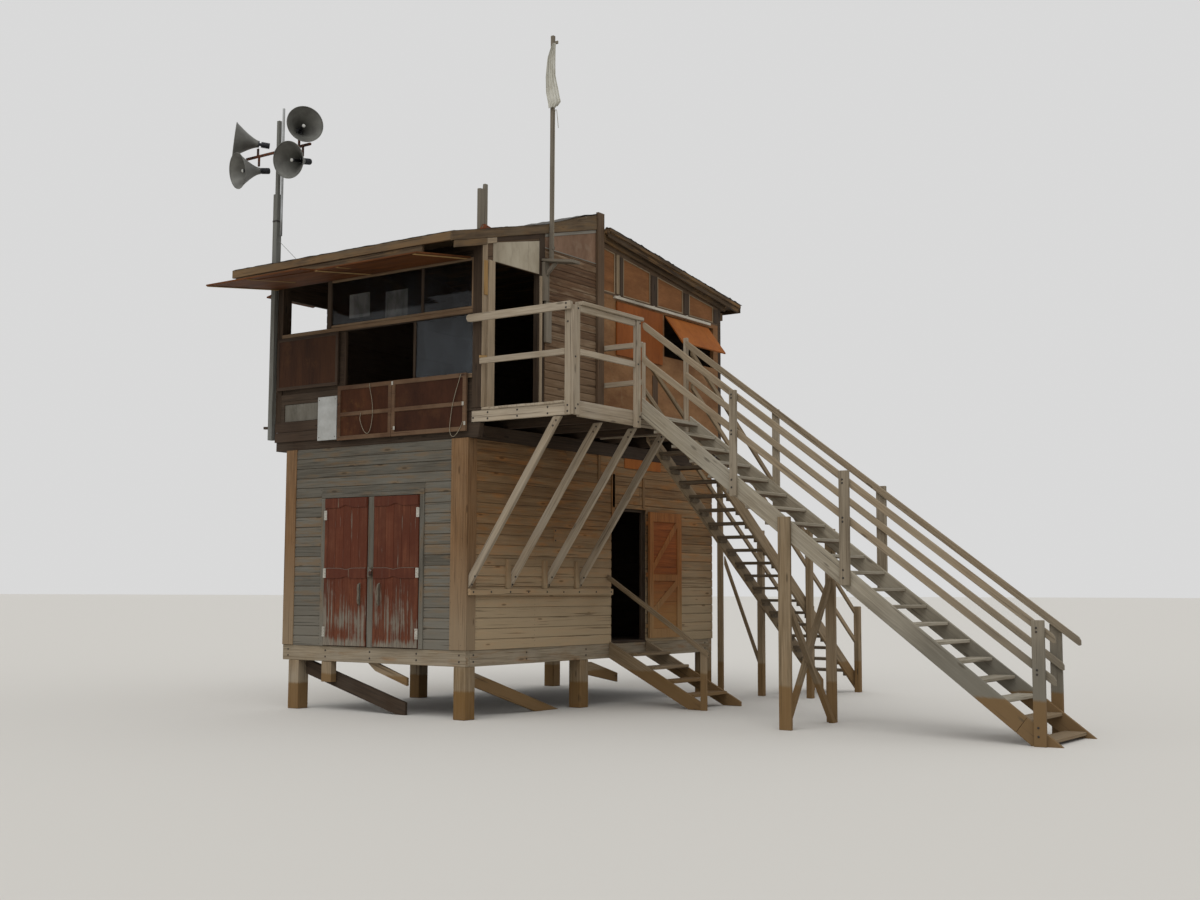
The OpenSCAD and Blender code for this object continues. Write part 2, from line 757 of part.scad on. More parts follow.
// the pole stands on a sloping arm that a pair of planks on the wall and a strut hold
module flagpole() {
  pole_x = 260;
  pole_y = 1335;
  half = 23;
  // height of the arm's top at a width
  function arm(x) = 5880 - (x - cab_r - g) * 0.154;
  tip_x = 707;
  arm_t = 38;
  color("#8d7f68") {
    plate_xz(pole_y - half, pole_y + half, [[pole_x - half, arm(pole_x - half) + g],
      [pole_x + half, arm(pole_x + half) + g], [pole_x + half, 8910], [pole_x - half, 8910]]);
    bar_xz(cab_r + g, arm(cab_r + g), tip_x, arm(tip_x), arm_t, 1186, 1358);
    slab(cab_r + g, cab_r + 50, 1190, 1300, 5320, arm(cab_r + 50) - arm_t - g);
    slab(cab_r + g, cab_r + 46, 1240, 1358, 4780, 5316);
    plate_xz(1225, 1265, [[cab_r + 52, 5648], [cab_r + 52, 5712], [372, arm(372) - arm_t - g],
      [430, arm(430) - arm_t - g]]);
    slab(pole_x + 25, pole_x + 80, 1330, 1350, 8790, 8830);
    slab(pole_x + 25, pole_x + 58, 1314, 1330, 6010, 6046);
  }
}

// points of a smooth line through hand-chosen places, n steps between each two
function smooth(p, n) = [for (i = [0:len(p) - 2], j = [0:n - 1])
  let (a = p[max(i - 1, 0)], b = p[i], c = p[i + 1], d = p[min(i + 2, len(p) - 1)], t = j / n)
    0.5 * (2 * b + (c - a) * t + (2 * a - 5 * b + 4 * c - d) * t * t + (3 * b - a - 3 * c + d) * t * t * t),
  p[len(p) - 1]];

// a cord of diameter d swept along a line of points
module cord(line, d) {
  sides = 8;
  n = len(line);
  function unit(v) = v / norm(v);
  function way(i) = unit(line[min(i + 1, n - 1)] - line[max(i - 1, 0)]);
  function ring(i) = let (u = unit(cross(way(i), [0.13, 1, 0.21])), v = cross(way(i), u))
    [for (k = [0:sides - 1]) line[i] + d / 2 * (u * cos(360 * k / sides) + v * sin(360 * k / sides))];
  points = [for (i = [0:n - 1]) for (q = ring(i)) q + [ox, oy, 0]];
  walls = [for (i = [0:n - 2], k = [0:sides - 1])
    [i * sides + k, i * sides + (k + 1) % sides, (i + 1) * sides + (k + 1) % sides, (i + 1) * sides + k]];
  ends = [[for (k = [sides - 1:-1:0]) k], [for (k = [0:sides - 1]) (n - 1) * sides + k]];
  polyhedron(points = points, faces = concat(walls, ends));
}

// the limp flag bunched in front of the pole
module flag() {
  color("#d8d6cf")
    plate_xz(1262, 1306, [[300, 8782], [338, 8782], [336, 8330], [372, 8200], [436, 7975], [360, 7925],
      [300, 7905], [222, 7935], [186, 8120], [178, 8340], [206, 8600]]);
}

halyard_route = [[306, 1322, 6047], [308, 1318, 6400], [309, 1318, 6900], [310, 1318, 7400],
  [312, 1317, 7780], [316, 1316, 7868], [330, 1315, 7884], [344, 1315, 7866], [352, 1315, 7800],
  [362, 1315, 7720], [372, 1315, 7630]];

module halyard() {
  color("#cfc8b4")
    cord(smooth(halyard_route, 2), 7);
}

rope_left_route = [[-1625, -68, 4232], [-1606, -68, 4140], [-1570, -68, 3990], [-1560, -68, 3860],
  [-1572, -68, 3730], [-1600, -68, 3630], [-1645, -68, 3584], [-1700, -68, 3610], [-1752, -68, 3690],
  [-1784, -68, 3780], [-1768, -68, 3862]];

rope_right_route = [[-68, -68, 4226], [-100, -68, 4140], [-150, -68, 4007], [-196, -68, 3860],
  [-226, -68, 3704], [-240, -68, 3560], [-222, -68, 3482], [-172, -68, 3458], [-116, -68, 3500],
  [-66, -68, 3566], [-28, -68, 3640]];

module shutter_rope_left() {
  color("#b9a98a")
    cord(smooth(rope_left_route, 2), 8);
}

module shutter_rope_right() {
  color("#b9a98a")
    cord(smooth(rope_right_route, 2), 8);
}

foundation_posts();
under_braces();
sill_beams();
hut_floor();
hut_corner_boards();
front_wall();
side_wall();
back_walls();
front_door_frame();
front_door_left();
front_door_right();
side_door_frame();
side_door();
side_steps();
side_steps_rail();
hut_top_beams();
floor_joists();
cabin_floor();
balcony_deck();
brace_ledger();
balcony_braces();
balcony_beams();
balcony_posts();
balcony_rails();
cabin_posts();
cabin_front_boards();
front_window_frames();
front_glass();
front_shutters();
sign_board();
front_awnings();
cabin_side_wall();
side_shutter();
side_awning();
cabin_left_wall();
left_awning();
cabin_rear_wall();
roof_slopes();
roof_fascias();
main_stringers();
main_treads();
main_posts();
main_rails();
main_supports();
rear_stringers();
rear_treads();
rear_rails();
rear_supports();
speaker_mast();
speaker_arms();
speaker_horns();
speaker_drivers();
flagpole();
flag();
halyard();
shutter_rope_left();
shutter_rope_right();
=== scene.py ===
import math

import bmesh
import bpy
import numpy as np
from mathutils import Matrix


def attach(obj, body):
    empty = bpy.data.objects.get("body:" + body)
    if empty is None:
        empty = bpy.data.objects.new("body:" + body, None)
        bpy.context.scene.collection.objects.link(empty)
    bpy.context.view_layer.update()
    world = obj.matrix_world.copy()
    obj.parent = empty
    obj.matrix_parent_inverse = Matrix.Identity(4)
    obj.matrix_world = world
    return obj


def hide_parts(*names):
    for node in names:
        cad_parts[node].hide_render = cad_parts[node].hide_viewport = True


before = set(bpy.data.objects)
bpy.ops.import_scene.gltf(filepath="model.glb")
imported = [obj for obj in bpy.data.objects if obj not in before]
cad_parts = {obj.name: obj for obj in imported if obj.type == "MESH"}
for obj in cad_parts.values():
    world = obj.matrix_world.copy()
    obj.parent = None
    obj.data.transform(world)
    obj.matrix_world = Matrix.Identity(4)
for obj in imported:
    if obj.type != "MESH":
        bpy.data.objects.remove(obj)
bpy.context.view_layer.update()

TAU = 2 * math.pi
TOWER = "tower"
POST_MIDDLE = np.array([95.0, -95.0, 0.0])  # the row frame starts under the near corner post, mm
X, Y, Z = 0, 1, 2


def row(places):
    """Wall-frame millimetres to row-frame metres."""
    return (np.asarray(places, float) + POST_MIDDLE) / 1000.0


def wall(places):
    """Row-frame metres to wall-frame millimetres."""
    return np.asarray(places, float) * 1000 - POST_MIDDLE


# Finishes: each colour is in thousandths of full red, green and blue, and each height in metres
FINISH = {}


class Tint:
    """A shader value; arithmetic on it adds Math nodes."""

    def __init__(self, finish, socket):
        self.finish = finish
        self.socket = socket

    def math(self, operation, a, b):
        return self.finish.node("ShaderNodeMath", {"operation": operation}, {0: a, 1: b})

    def __add__(self, other):
        return self.math("ADD", self, other)

    def __radd__(self, other):
        return self.math("ADD", other, self)

    def __sub__(self, other):
        return self.math("SUBTRACT", self, other)

    def __rsub__(self, other):
        return self.math("SUBTRACT", other, self)

    def __mul__(self, other):
        return self.math("MULTIPLY", self, other)

    def __rmul__(self, other):
        return self.math("MULTIPLY", other, self)


class Finish:
    """One material, built from sockets and kept in FINISH by its name."""

    def __init__(self, name, **fixed):
        self.material = FINISH[name] = bpy.data.materials.new(name)
        self.material.use_nodes = True
        self.tree = self.material.node_tree
        self.shader = self.tree.nodes["Principled BSDF"]
        for socket, value in fixed.items():
            self.shader.inputs[socket.replace("_", " ")].default_value = value

    def node(self, kind, settings=None, inputs=None, out=0):
        made = self.tree.nodes.new(kind)
        for key, value in (settings or {}).items():
            if key == "stops":
                self.fill_ramp(made.color_ramp, value)
            else:
                setattr(made, key, value)
        for key, value in (inputs or {}).items():
            if isinstance(value, Tint):
                self.tree.links.new(value.socket, made.inputs[key])
            else:
                made.inputs[key].default_value = value
        return Tint(self, made.outputs[out])

    @staticmethod
    def fill_ramp(ramp, stops):
        while len(ramp.elements) < len(stops):
            ramp.elements.new(1.0)
        for element, (place, value) in zip(ramp.elements, stops):
            element.position = place
            element.color = (value, value, value, 1.0)

    def attribute(self, name, out="Vector"):
        return self.node("ShaderNodeAttribute", {"attribute_name": name}, out=out)

    def place(self):
        return self.node("ShaderNodeTexCoord", out="Object")

    def stretch(self, vector, factors):
        return self.node("ShaderNodeVectorMath", {"operation": "MULTIPLY"}, {0: vector, 1: factors})

    def axis(self, vector, index):
        return self.node("ShaderNodeSeparateXYZ", inputs={0: vector}, out=index)

    def noise(self, vector, scale, detail, rough=0.6, distortion=0.0):
        inputs = {"Vector": vector, "Scale": scale, "Detail": detail, "Roughness": rough,
                  "Distortion": distortion}
        return self.node("ShaderNodeTexNoise", inputs=inputs)

    def ramp(self, value, *stops):
        return self.node("ShaderNodeValToRGB", {"stops": stops}, {0: value})

    def step(self, value, low, high):
        return self.ramp(value, (low, 0.0), (high, 1.0))

    def ranged(self, value, low, high):
        """From 0 at low to 1 at high, held beyond."""
        inputs = {"Value": value, "From Min": low, "From Max": high}
        return self.node("ShaderNodeMapRange", {"clamp": True}, inputs)

    def sine(self, value):
        return self.node("ShaderNodeMath", {"operation": "SINE"}, {0: value})

    def mix(self, factor, a, b, blend="MIX"):
        inputs = {0: factor, 6: colour(a), 7: colour(b)}
        return self.node("ShaderNodeMix", {"data_type": "RGBA", "blend_type": blend}, inputs, out=2)

    def feed(self, socket, value):
        self.tree.links.new(value.socket, self.shader.inputs[socket])

    def bump(self, height, distance, strength):
        inputs = {"Height": height, "Distance": distance, "Strength": strength}
        self.feed("Normal", self.node("ShaderNodeBump", inputs=inputs))


def colour(value):
    """A socket as it is, thousandths as a colour."""
    return value if isinstance(value, Tint) else (*[v / 1000 for v in value], 1.0)


def scaled(shade, factor):
    return tuple(v * factor for v in shade)


# how often a pattern repeats in a metre, along a timber's grain and across it
FINE_LINES = (2.2, 70.0, 70.0)
BROAD_BANDS = (0.9, 17.0, 17.0)
SPLITS = (0.9, 46.0, 46.0)
KNOTS = (1.9, 7.5, 7.5)
STREAKS = (1.6, 12.0, 12.0)
PAINT_STREAKS = (1.2, 30.0, 30.0)
PAINT_LINES = (3.0, 90.0, 90.0)


def timber(name, light, mid, dark, grey, greying, level=None, stain=None, under=None, tide=None):
    """Sawn, weathered wood. Grain runs along the piece's own 'grain' attribute: fine lines, broad bands,
    knots and checks; each board has its own 'tone'; grey weathering comes in patches. Level is a colour
    that is full below its first height and gone above its second; stain is a colour in streaks and round
    the knots; under is a painted shade, the colour that faces looking down take for the shade under them;
    and tide is a height and the colour of the wood that sand covered."""
    wood = Finish(name, Roughness=0.85, Specular_IOR_Level=0.22)
    grain_at = wood.attribute("grain")
    tone = wood.attribute("tone", "Fac")
    fine = wood.noise(wood.stretch(grain_at, FINE_LINES), 1.0, 4.0, 0.62)
    band = wood.noise(wood.stretch(grain_at, BROAD_BANDS), 1.0, 3.0, 0.6, 1.1)
    check = wood.step(wood.noise(wood.stretch(grain_at, SPLITS), 1.0, 2.0, 0.55), 0.63, 0.69)
    cell = wood.node("ShaderNodeTexVoronoi", inputs={"Vector": wood.stretch(grain_at, KNOTS), "Scale": 1.0})
    knot = 1.0 - wood.step(cell, 0.07, 0.13)
    patch = wood.noise(wood.place(), 1.3, 4.0)

    def uneven_height(by_patch, by_line):
        """Height above the ground, raised and lowered by the patches and the fine lines."""
        return wood.axis(wood.place(), Z) + (patch - 0.5) * by_patch + (fine - 0.5) * by_line

    body = wood.mix(0.3 + wood.step(band, 0.34, 0.62) * 0.7, dark, mid)
    body = wood.mix(wood.step(fine, 0.42, 0.72) * 0.75, body, light)
    body = wood.mix(wood.step(patch + tone * 0.2, 0.46, 0.84) * greying, body, grey)
    if stain is not None:
        streak = wood.noise(wood.stretch(grain_at, STREAKS), 1.3, 4.0, 0.65)
        halo = (1.0 - wood.step(cell, 0.1, 0.34)) * wood.step(fine, 0.3, 0.6)
        body = wood.mix(wood.step(streak + tone * 0.16, 0.58, 0.74) * 0.6, body, stain)
        body = wood.mix(halo * 0.8, body, scaled(stain, 1.25))
    body = wood.mix(0.6, body, wood.ramp(tone, (0.0, 0.78), (1.0, 1.2)), "MULTIPLY")
    if level is not None:
        shade, low, high = level
        body = wood.mix((1.0 - wood.ranged(uneven_height(0.9, 0.35), low, high)) * 0.75, body, shade)
    if tide is not None:
        line, shade = tide
        sanded = 1.0 - wood.ranged(uneven_height(0.06, 0.04), line, line + 0.03)
        body = wood.mix(sanded * 0.8, body, shade)
    # painted shade: faces that look down are drawn towards the under colour, for the shade that falls under
    # them
    if under is not None:
        down = wood.axis(wood.node("ShaderNodeTexCoord", out="Normal"), Z) * -1.0
        body = wood.mix(wood.step(down, 0.5, 0.8) * 0.85, body, under)
    body = wood.mix(knot * 0.6 + check * 0.55, body, scaled(dark, 0.4))
    wood.feed("Base Color", body)
    wood.feed("Roughness", 0.74 + fine * 0.2)
    wood.bump(fine * 0.5 + band * 0.5 - check * 1.2 - knot * 0.4, 0.0022, 0.8)


def worn_paint(name, paint, faded, bare, full_z, bare_z):
    """Old paint on upright boards: whole above full_z, worn along the grain to bare wood towards bare_z,
    with a band that has kept more of it just above the foot."""
    skin = Finish(name, Roughness=0.6, Specular_IOR_Level=0.2)
    grain_at = skin.attribute("grain")
    tone = skin.attribute("tone", "Fac")
    level = skin.axis(skin.place(), Z)
    streak = skin.noise(skin.stretch(grain_at, PAINT_STREAKS), 1.0, 4.0)
    fine = skin.noise(skin.stretch(grain_at, PAINT_LINES), 1.0, 3.0)
    patch = skin.noise(skin.place(), 2.6, 4.0)
    kept = skin.ranged(level, bare_z, full_z) * 0.85
    band_ends = 1.0 - skin.ranged(level, bare_z + 0.2, bare_z + 0.34)
    band = skin.ranged(level, bare_z + 0.06, bare_z + 0.14) * band_ends * 0.3
    left = skin.step(kept + band + (streak - 0.5) * 2.2 + (patch - 0.5) * 1.3 + 0.07, 0.3, 0.62)
    coat = skin.mix(skin.step(patch + (streak - 0.5) * 0.8, 0.42, 0.74), paint, faded)
    coat = skin.mix(skin.step(streak + (patch - 0.5) * 0.5, 0.6, 0.76) * 0.5, coat, scaled(faded, 1.8))
    coat = skin.mix(0.45, coat, skin.ramp(tone, (0.0, 0.7), (1.0, 1.25)), "MULTIPLY")
    wood = skin.mix(skin.step(fine, 0.35, 0.7), scaled(bare, 0.55), bare)
    skin.feed("Base Color", skin.mix(left, wood, coat))
    skin.feed("Roughness", 0.86 - left * 0.26)
    skin.bump(left * 0.5 + fine * 0.5, 0.0012, 0.7)


def sheet_ply(name, light, dark, scuff, streaks, scuffing):
    """Stained plywood: soft streaks and blotches, paler scuffs, fine grain lines. Streaks says how often
    the pattern repeats in a metre along X, Y and Z."""
    ply = Finish(name, Roughness=0.62, Specular_IOR_Level=0.12)
    at = ply.place()
    blotch = ply.noise(ply.stretch(at, streaks), 1.0, 4.0, 0.65)
    fine = ply.noise(ply.stretch(at, scaled(streaks, 9.0)), 1.0, 3.0)
    worn = ply.step(ply.noise(at, 3.1, 5.0, 0.72), 0.56, 0.72)
    body = ply.mix(ply.step(blotch, 0.34, 0.68), dark, light)
    body = ply.mix(ply.step(fine, 0.5, 0.75) * 0.3, body, scaled(dark, 0.5))
    ply.feed("Base Color", ply.mix(worn * scuffing, body, scuff))
    ply.feed("Roughness", 0.62 + (worn * 0.2 + fine * 0.1))
    ply.bump(blotch * 0.4 + fine * 0.6, 0.0012, 0.6)


def coated_metal(name, paint, dirt, rust, rusting, gloss, spots=18.0):
    """Painted sheet or bar: dirt in soft clouds, rust in spots that roughen it."""
    metal = Finish(name, Roughness=gloss)
    at = metal.place()
    cloud = metal.noise(at, 6.0, 4.0)
    spot = metal.noise(at, spots, 5.0, 0.7)
    oxide = metal.step(spot + (cloud - 0.5) * 0.6, 0.72 - 0.3 * rusting, 0.84 - 0.3 * rusting)
    body = metal.mix(metal.step(cloud, 0.35, 0.7), dirt, paint)
    metal.feed("Base Color", metal.mix(oxide, body, rust))
    metal.feed("Roughness", gloss + (oxide * 0.3 + cloud * 0.1))
    metal.feed("Metallic", 0.35 - oxide * 0.35)
    metal.bump(oxide * 0.6 + spot * 0.4, 0.0008, 0.6)


def window_glass():
    """Old sheet glass: clear, with a thin uneven film of salt and dust that thickens towards the sill."""
    glass = Finish("window_glass", Roughness=0.04, IOR=1.5)
    film = glass.noise(glass.stretch(glass.place(), (2.0, 2.0, 0.9)), 2.2, 4.0)
    low = 1.0 - glass.ranged(glass.axis(glass.place(), Z), 4.7, 5.2)
    clouded = glass.step(film, 0.4, 0.75) * 0.5 + low * 0.5
    glass.feed("Base Color", glass.mix(clouded, (3, 3.5, 4), (32, 40, 48)))
    glass.feed("Alpha", 0.3 + clouded * 0.45)
    glass.feed("Roughness", 0.03 + clouded * 0.1)


def roof_felt():
    """Bituminous felt: near black with grey mineral grains, faded in broad patches."""
    felt = Finish("roof_felt", Roughness=0.95)
    at = felt.place()
    grit = felt.noise(at, 160.0, 2.0, 0.7)
    fade = felt.noise(at, 1.6, 4.0)
    body = felt.mix(felt.step(fade, 0.35, 0.7), (35, 32, 30), (100, 92, 80))
    felt.feed("Base Color", felt.mix(felt.step(grit, 0.5, 0.7) * 0.6, body, (200, 190, 170)))
    felt.feed("Roughness", 0.85 + grit * 0.1)
    felt.bump(grit, 0.0015, 0.8)


def woven_cloth():
    """Thin off-white cloth: a plain weave on the sheet's own 'grain' metres, stained by weather."""
    cloth = Finish("flag_cloth", Roughness=0.9, Sheen_Weight=0.25)
    threads = 900.0
    at = cloth.attribute("grain")
    warp = cloth.sine(cloth.axis(at, X) * threads)
    weft = cloth.sine(cloth.axis(at, Y) * threads)
    stain = cloth.noise(at, 7.0, 4.0, 0.65)
    body = cloth.mix(cloth.step(stain, 0.38, 0.72), (460, 440, 370), (620, 610, 550))
    cloth.feed("Base Color", cloth.mix((warp + weft) * 0.08, body, (300, 280, 220)))
    cloth.feed("Roughness", 0.84 + stain * 0.12)
    cloth.bump(warp + weft, 0.0003, 0.4)


def laid_rope():
    """Fibre rope: three strands wind round it along its own 'grain' (metres along, turns round)."""
    rope = Finish("fibre_rope", Roughness=0.9)
    lay, strands = 420.0, 18.85
    at = rope.attribute("grain")
    strand = rope.sine(rope.axis(at, X) * lay + rope.axis(at, Y) * strands)
    stain = rope.noise(at, 9.0, 3.0)
    body = rope.mix(rope.step(stain, 0.35, 0.7), (240, 200, 140), (420, 360, 260))
    rope.feed("Base Color", rope.mix(rope.step(strand, -0.9, -0.3) * 0.7 + 0.3, (100, 80, 50), body))
    rope.feed("Roughness", 0.85 + stain * 0.1)
    rope.bump(strand, 0.0008, 0.7)


def plain_board():
    """The bare off-white board: flat paint gone chalky, with clouds of grime and a few drips."""
    paint = Finish("bare_white_board", Roughness=0.55)
    at = paint.place()
    cloud = paint.noise(at, 5.0, 4.0)
    drip = paint.noise(paint.stretch(at, (30.0, 30.0, 1.6)), 1.0, 3.0)
    body = paint.mix(paint.step(cloud, 0.35, 0.7), (330, 330, 310), (470, 475, 460))
    paint.feed("Base Color", paint.mix(paint.step(drip, 0.6, 0.75) * 0.6, body, (300, 270, 220)))
    paint.feed("Roughness", 0.5 + cloud * 0.2)
    paint.bump(cloud, 0.0006, 0.4)


# The tower's own finishes. A timber's colours are light, mid, dark and weathered grey, and then comes how
# far it is greyed; a sheet's are light, dark and scuffed; a metal's are paint, dirt and rust.
timber("balcony_timber", (460, 385, 290), (330, 265, 185), (175, 130, 83), (380, 335, 270), 0.6)
timber("stair_timber", (400, 355, 275), (285, 245, 178), (155, 122, 83), (330, 305, 250), 0.6,
       level=((130, 122, 100), 0.8, 1.7), tide=(0.46, (170, 94, 30)))
timber("stair_post_timber", (340, 285, 208), (240, 195, 137), (132, 100, 65), (290, 252, 195), 0.6,
       level=((125, 117, 95), 0.8, 1.7), tide=(0.46, (170, 94, 30)))
# the treads' undersides take a painted shade
timber("tread_timber", (420, 380, 300), (310, 270, 200), (175, 140, 98), (350, 325, 270), 0.6,
       under=(110, 64, 33), tide=(0.3, (200, 135, 70)))
timber("stair_rail_timber", (380, 305, 210), (265, 200, 128), (145, 104, 64), (310, 262, 190), 0.5,
       level=((150, 135, 105), 0.8, 1.7))
# the rear treads are kept darker than the props as painted shade, for the shade they stand in, and their
# undersides take a painted shade too
timber("rear_stair_timber", (260, 205, 140), (170, 128, 82), (85, 62, 40), (230, 195, 150), 0.4,
       under=(100, 60, 30))
timber("prop_timber", (320, 240, 150), (225, 160, 92), (115, 82, 45), (260, 210, 150), 0.4,
       tide=(0.47, (170, 96, 34)))
timber("foundation_timber", (320, 235, 140), (200, 132, 65), (100, 64, 30), (300, 260, 200), 0.6,
       tide=(0.33, (155, 80, 20)))
timber("sill_timber", (380, 315, 225), (265, 210, 140), (140, 105, 64), (340, 300, 235), 0.7,
       stain=(220, 120, 50))
timber("corner_timber", (270, 155, 75), (182, 95, 39), (96, 47, 18), (230, 160, 94), 0.4,
       level=((250, 190, 122), 1.0, 2.2))
timber("front_boarding", (165, 150, 120), (108, 96, 75), (53, 45, 33), (138, 131, 110), 0.75,
       stain=(150, 95, 48), level=((175, 160, 130), 0.9, 1.7))
timber("side_boarding", (280, 170, 83), (175, 95, 40), (90, 45, 17), (220, 155, 85), 0.5,
       stain=(250, 105, 28), level=((400, 315, 200), 1.2, 2.4))
timber("cabin_side_boarding", (170, 96, 50), (108, 56, 28), (52, 26, 13), (150, 97, 55), 0.6,
       stain=(250, 185, 120), level=((190, 125, 73), 4.1, 5.2))
timber("dark_timber", (85, 55, 34), (44, 27, 16), (18, 11, 6), (80, 62, 46), 0.5)
timber("cabin_lower_boards", (75, 45, 26), (40, 23, 13), (18, 10, 6), (70, 50, 36), 0.5)
timber("roof_edge_timber", (180, 120, 67), (82, 52, 28), (24, 14, 8), (160, 122, 78), 0.6,
       stain=(170, 100, 42))
timber("rear_verge_timber", (125, 78, 40), (52, 31, 16), (20, 12, 6), (110, 80, 50), 0.5,
       stain=(200, 110, 40))
timber("window_timber", (280, 185, 105), (165, 100, 55), (80, 47, 26), (240, 185, 120), 0.4)
timber("pale_timber", (400, 310, 210), (280, 210, 135), (160, 112, 68), (330, 280, 210), 0.5)
timber("ash_grey_timber", (300, 275, 230), (200, 180, 148), (110, 98, 80), (260, 245, 210), 0.6)
timber("pale_ledge", (420, 380, 300), (200, 160, 115), (75, 55, 38), (500, 470, 400), 0.85)
timber("bead_timber", (340, 255, 160), (220, 155, 90), (110, 75, 43), (280, 230, 160), 0.4)
timber("upper_frame_timber", (130, 78, 43), (78, 44, 23), (36, 20, 11), (120, 88, 58), 0.5)
timber("yellow_batten", (420, 270, 110), (310, 180, 65), (160, 90, 34), (290, 220, 130), 0.3)
timber("mast_timber", (230, 235, 215), (155, 150, 130), (75, 68, 52), (210, 215, 200), 0.7)
timber("pole_timber", (240, 200, 150), (160, 133, 98), (80, 64, 45), (205, 185, 150), 0.6)
timber("stub_post_timber", (190, 160, 118), (120, 98, 72), (55, 44, 31), (160, 145, 118), 0.6)
timber("shutter_frame", (100, 42, 18), (55, 21, 9), (27, 10, 5), (220, 150, 90), 0.5)
timber("side_door_boards", (340, 95, 20), (210, 55, 11), (105, 27, 6), (240, 100, 32), 0.3,
       level=((300, 165, 60), 1.1, 1.9))
timber("side_door_rails", (380, 155, 42), (270, 96, 25), (135, 43, 11), (300, 170, 70), 0.4,
       level=((320, 200, 90), 1.1, 1.9))
sheet_ply("brown_panel", (60, 24, 10), (30, 12, 6), (100, 50, 25), (5.0, 5.0, 0.6), 0.45)
sheet_ply("left_shutter_sheet", (70, 23, 8), (30, 9, 3), (150, 75, 28), (4.0, 4.0, 1.2), 0.5)
sheet_ply("right_shutter_sheet", (52, 18, 8), (27, 9, 4), (90, 42, 20), (3.0, 3.0, 1.5), 0.45)
sheet_ply("orange_flap_sheet", (340, 110, 20), (230, 66, 12), (300, 140, 50), (2.0, 2.0, 0.8), 0.35)
sheet_ply("side_shutter_sheet", (270, 80, 16), (190, 54, 11), (250, 110, 40), (2.0, 2.0, 0.8), 0.35)
sheet_ply("side_field_sheet", (235, 100, 36), (135, 55, 18), (280, 170, 85), (1.2, 1.2, 5.0), 0.4)
sheet_ply("lower_side_sheet", (260, 135, 58), (155, 70, 27), (300, 200, 110), (1.4, 1.4, 3.0), 0.5)
sheet_ply("gable_sheet", (235, 145, 95), (145, 84, 52), (290, 225, 165), (3.0, 3.0, 1.0), 0.5)
sheet_ply("torn_scrap", (200, 60, 22), (100, 30, 12), (240, 100, 50), (9.0, 9.0, 9.0), 0.4)
sheet_ply("doorway_header_sheet", (440, 390, 300), (300, 255, 185), (500, 460, 380), (2.0, 2.0, 0.8), 0.4)
sheet_ply("white_panel", (190, 175, 145), (105, 95, 75), (250, 235, 205), (3.0, 3.0, 0.8), 0.5)
sheet_ply("flap_sheet", (140, 47, 12), (66, 22, 6), (200, 90, 32), (0.8, 5.0, 5.0), 0.4)
worn_paint("red_door_paint", (86, 19, 6), (118, 36, 15), (240, 205, 160), 1.7, 0.82)
worn_paint("red_rail_paint", (80, 17, 6), (105, 29, 12), (220, 170, 120), 1.1, 0.2)
window_glass()
roof_felt()
woven_cloth()
laid_rope()
plain_board()
coated_metal("horn_paint", (190, 190, 170), (115, 112, 100), (110, 60, 32), 0.12, 0.5)
coated_metal("horn_tip_paint", (600, 600, 570), (450, 450, 420), (200, 140, 90), 0.0, 0.5)
coated_metal("driver_paint", (50, 54, 62), (30, 30, 32), (100, 50, 25), 0.2, 0.5)
coated_metal("rusted_bar", (60, 30, 20), (35, 18, 12), (130, 42, 16), 0.9, 0.75, 26.0)
coated_metal("galvanised_pipe", (360, 370, 370), (240, 240, 230), (200, 130, 80), 0.1, 0.42)
coated_metal("white_fitting_paint", (520, 500, 440), (340, 320, 270), (200, 100, 45), 0.4, 0.5, 40.0)
coated_metal("bolt_steel", (50, 45, 40), (30, 26, 22), (90, 45, 22), 0.6, 0.6, 60.0)
coated_metal("white_sealant", (660, 620, 540), (500, 450, 370), (400, 320, 220), 0.2, 0.85, 30.0)


# Shapes: from here on places and sizes are in wall-frame millimetres
def length_of(arrows):
    return np.linalg.norm(arrows, axis=-1, keepdims=True)


def points(x, y, z):
    """Points from their coordinates, each a number or an array; a number repeats."""
    return np.stack(np.broadcast_arrays(x, y, z), -1).astype(float)


def vectors(axis, sizes):
    """One vector of each size along an axis."""
    made = np.zeros((len(sizes), 3))
    made[:, axis] = sizes
    return made


def circle(side, up, sides):
    """Points on a unit circle between two square unit vectors: side cos + up sin."""
    turn = np.arange(sides)[:, None] * TAU / sides
    return np.cos(turn) * side[..., None, :] + np.sin(turn) * up[..., None, :]


def net(rows, columns, wrap_rows=False, wrap_columns=False):
    """Quads of a grid of points numbered row by row, joined round where asked."""
    r = np.arange(rows if wrap_rows else rows - 1)[:, None]
    c = np.arange(columns if wrap_columns else columns - 1)[None]
    r2, c2 = (r + 1) % rows, (c + 1) % columns
    quads = [r * columns + c, r * columns + c2, r2 * columns + c2, r2 * columns + c]
    return np.stack(quads, -1).reshape(-1, 4)


def write(mesh, key, values):
    """A point attribute: the grain is a vector, the tone a number."""
    kind, field = {"grain": ("FLOAT_VECTOR", "vector"), "tone": ("FLOAT", "value")}[key]
    layer = mesh.attributes.new(key, kind, "POINT")
    layer.data.foreach_set(field, np.asarray(values, np.float32).ravel())


def place_piece(name, mesh, body):
    piece = bpy.data.objects.new(name, mesh)
    bpy.context.scene.collection.objects.link(piece)
    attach(piece, body)
    return piece


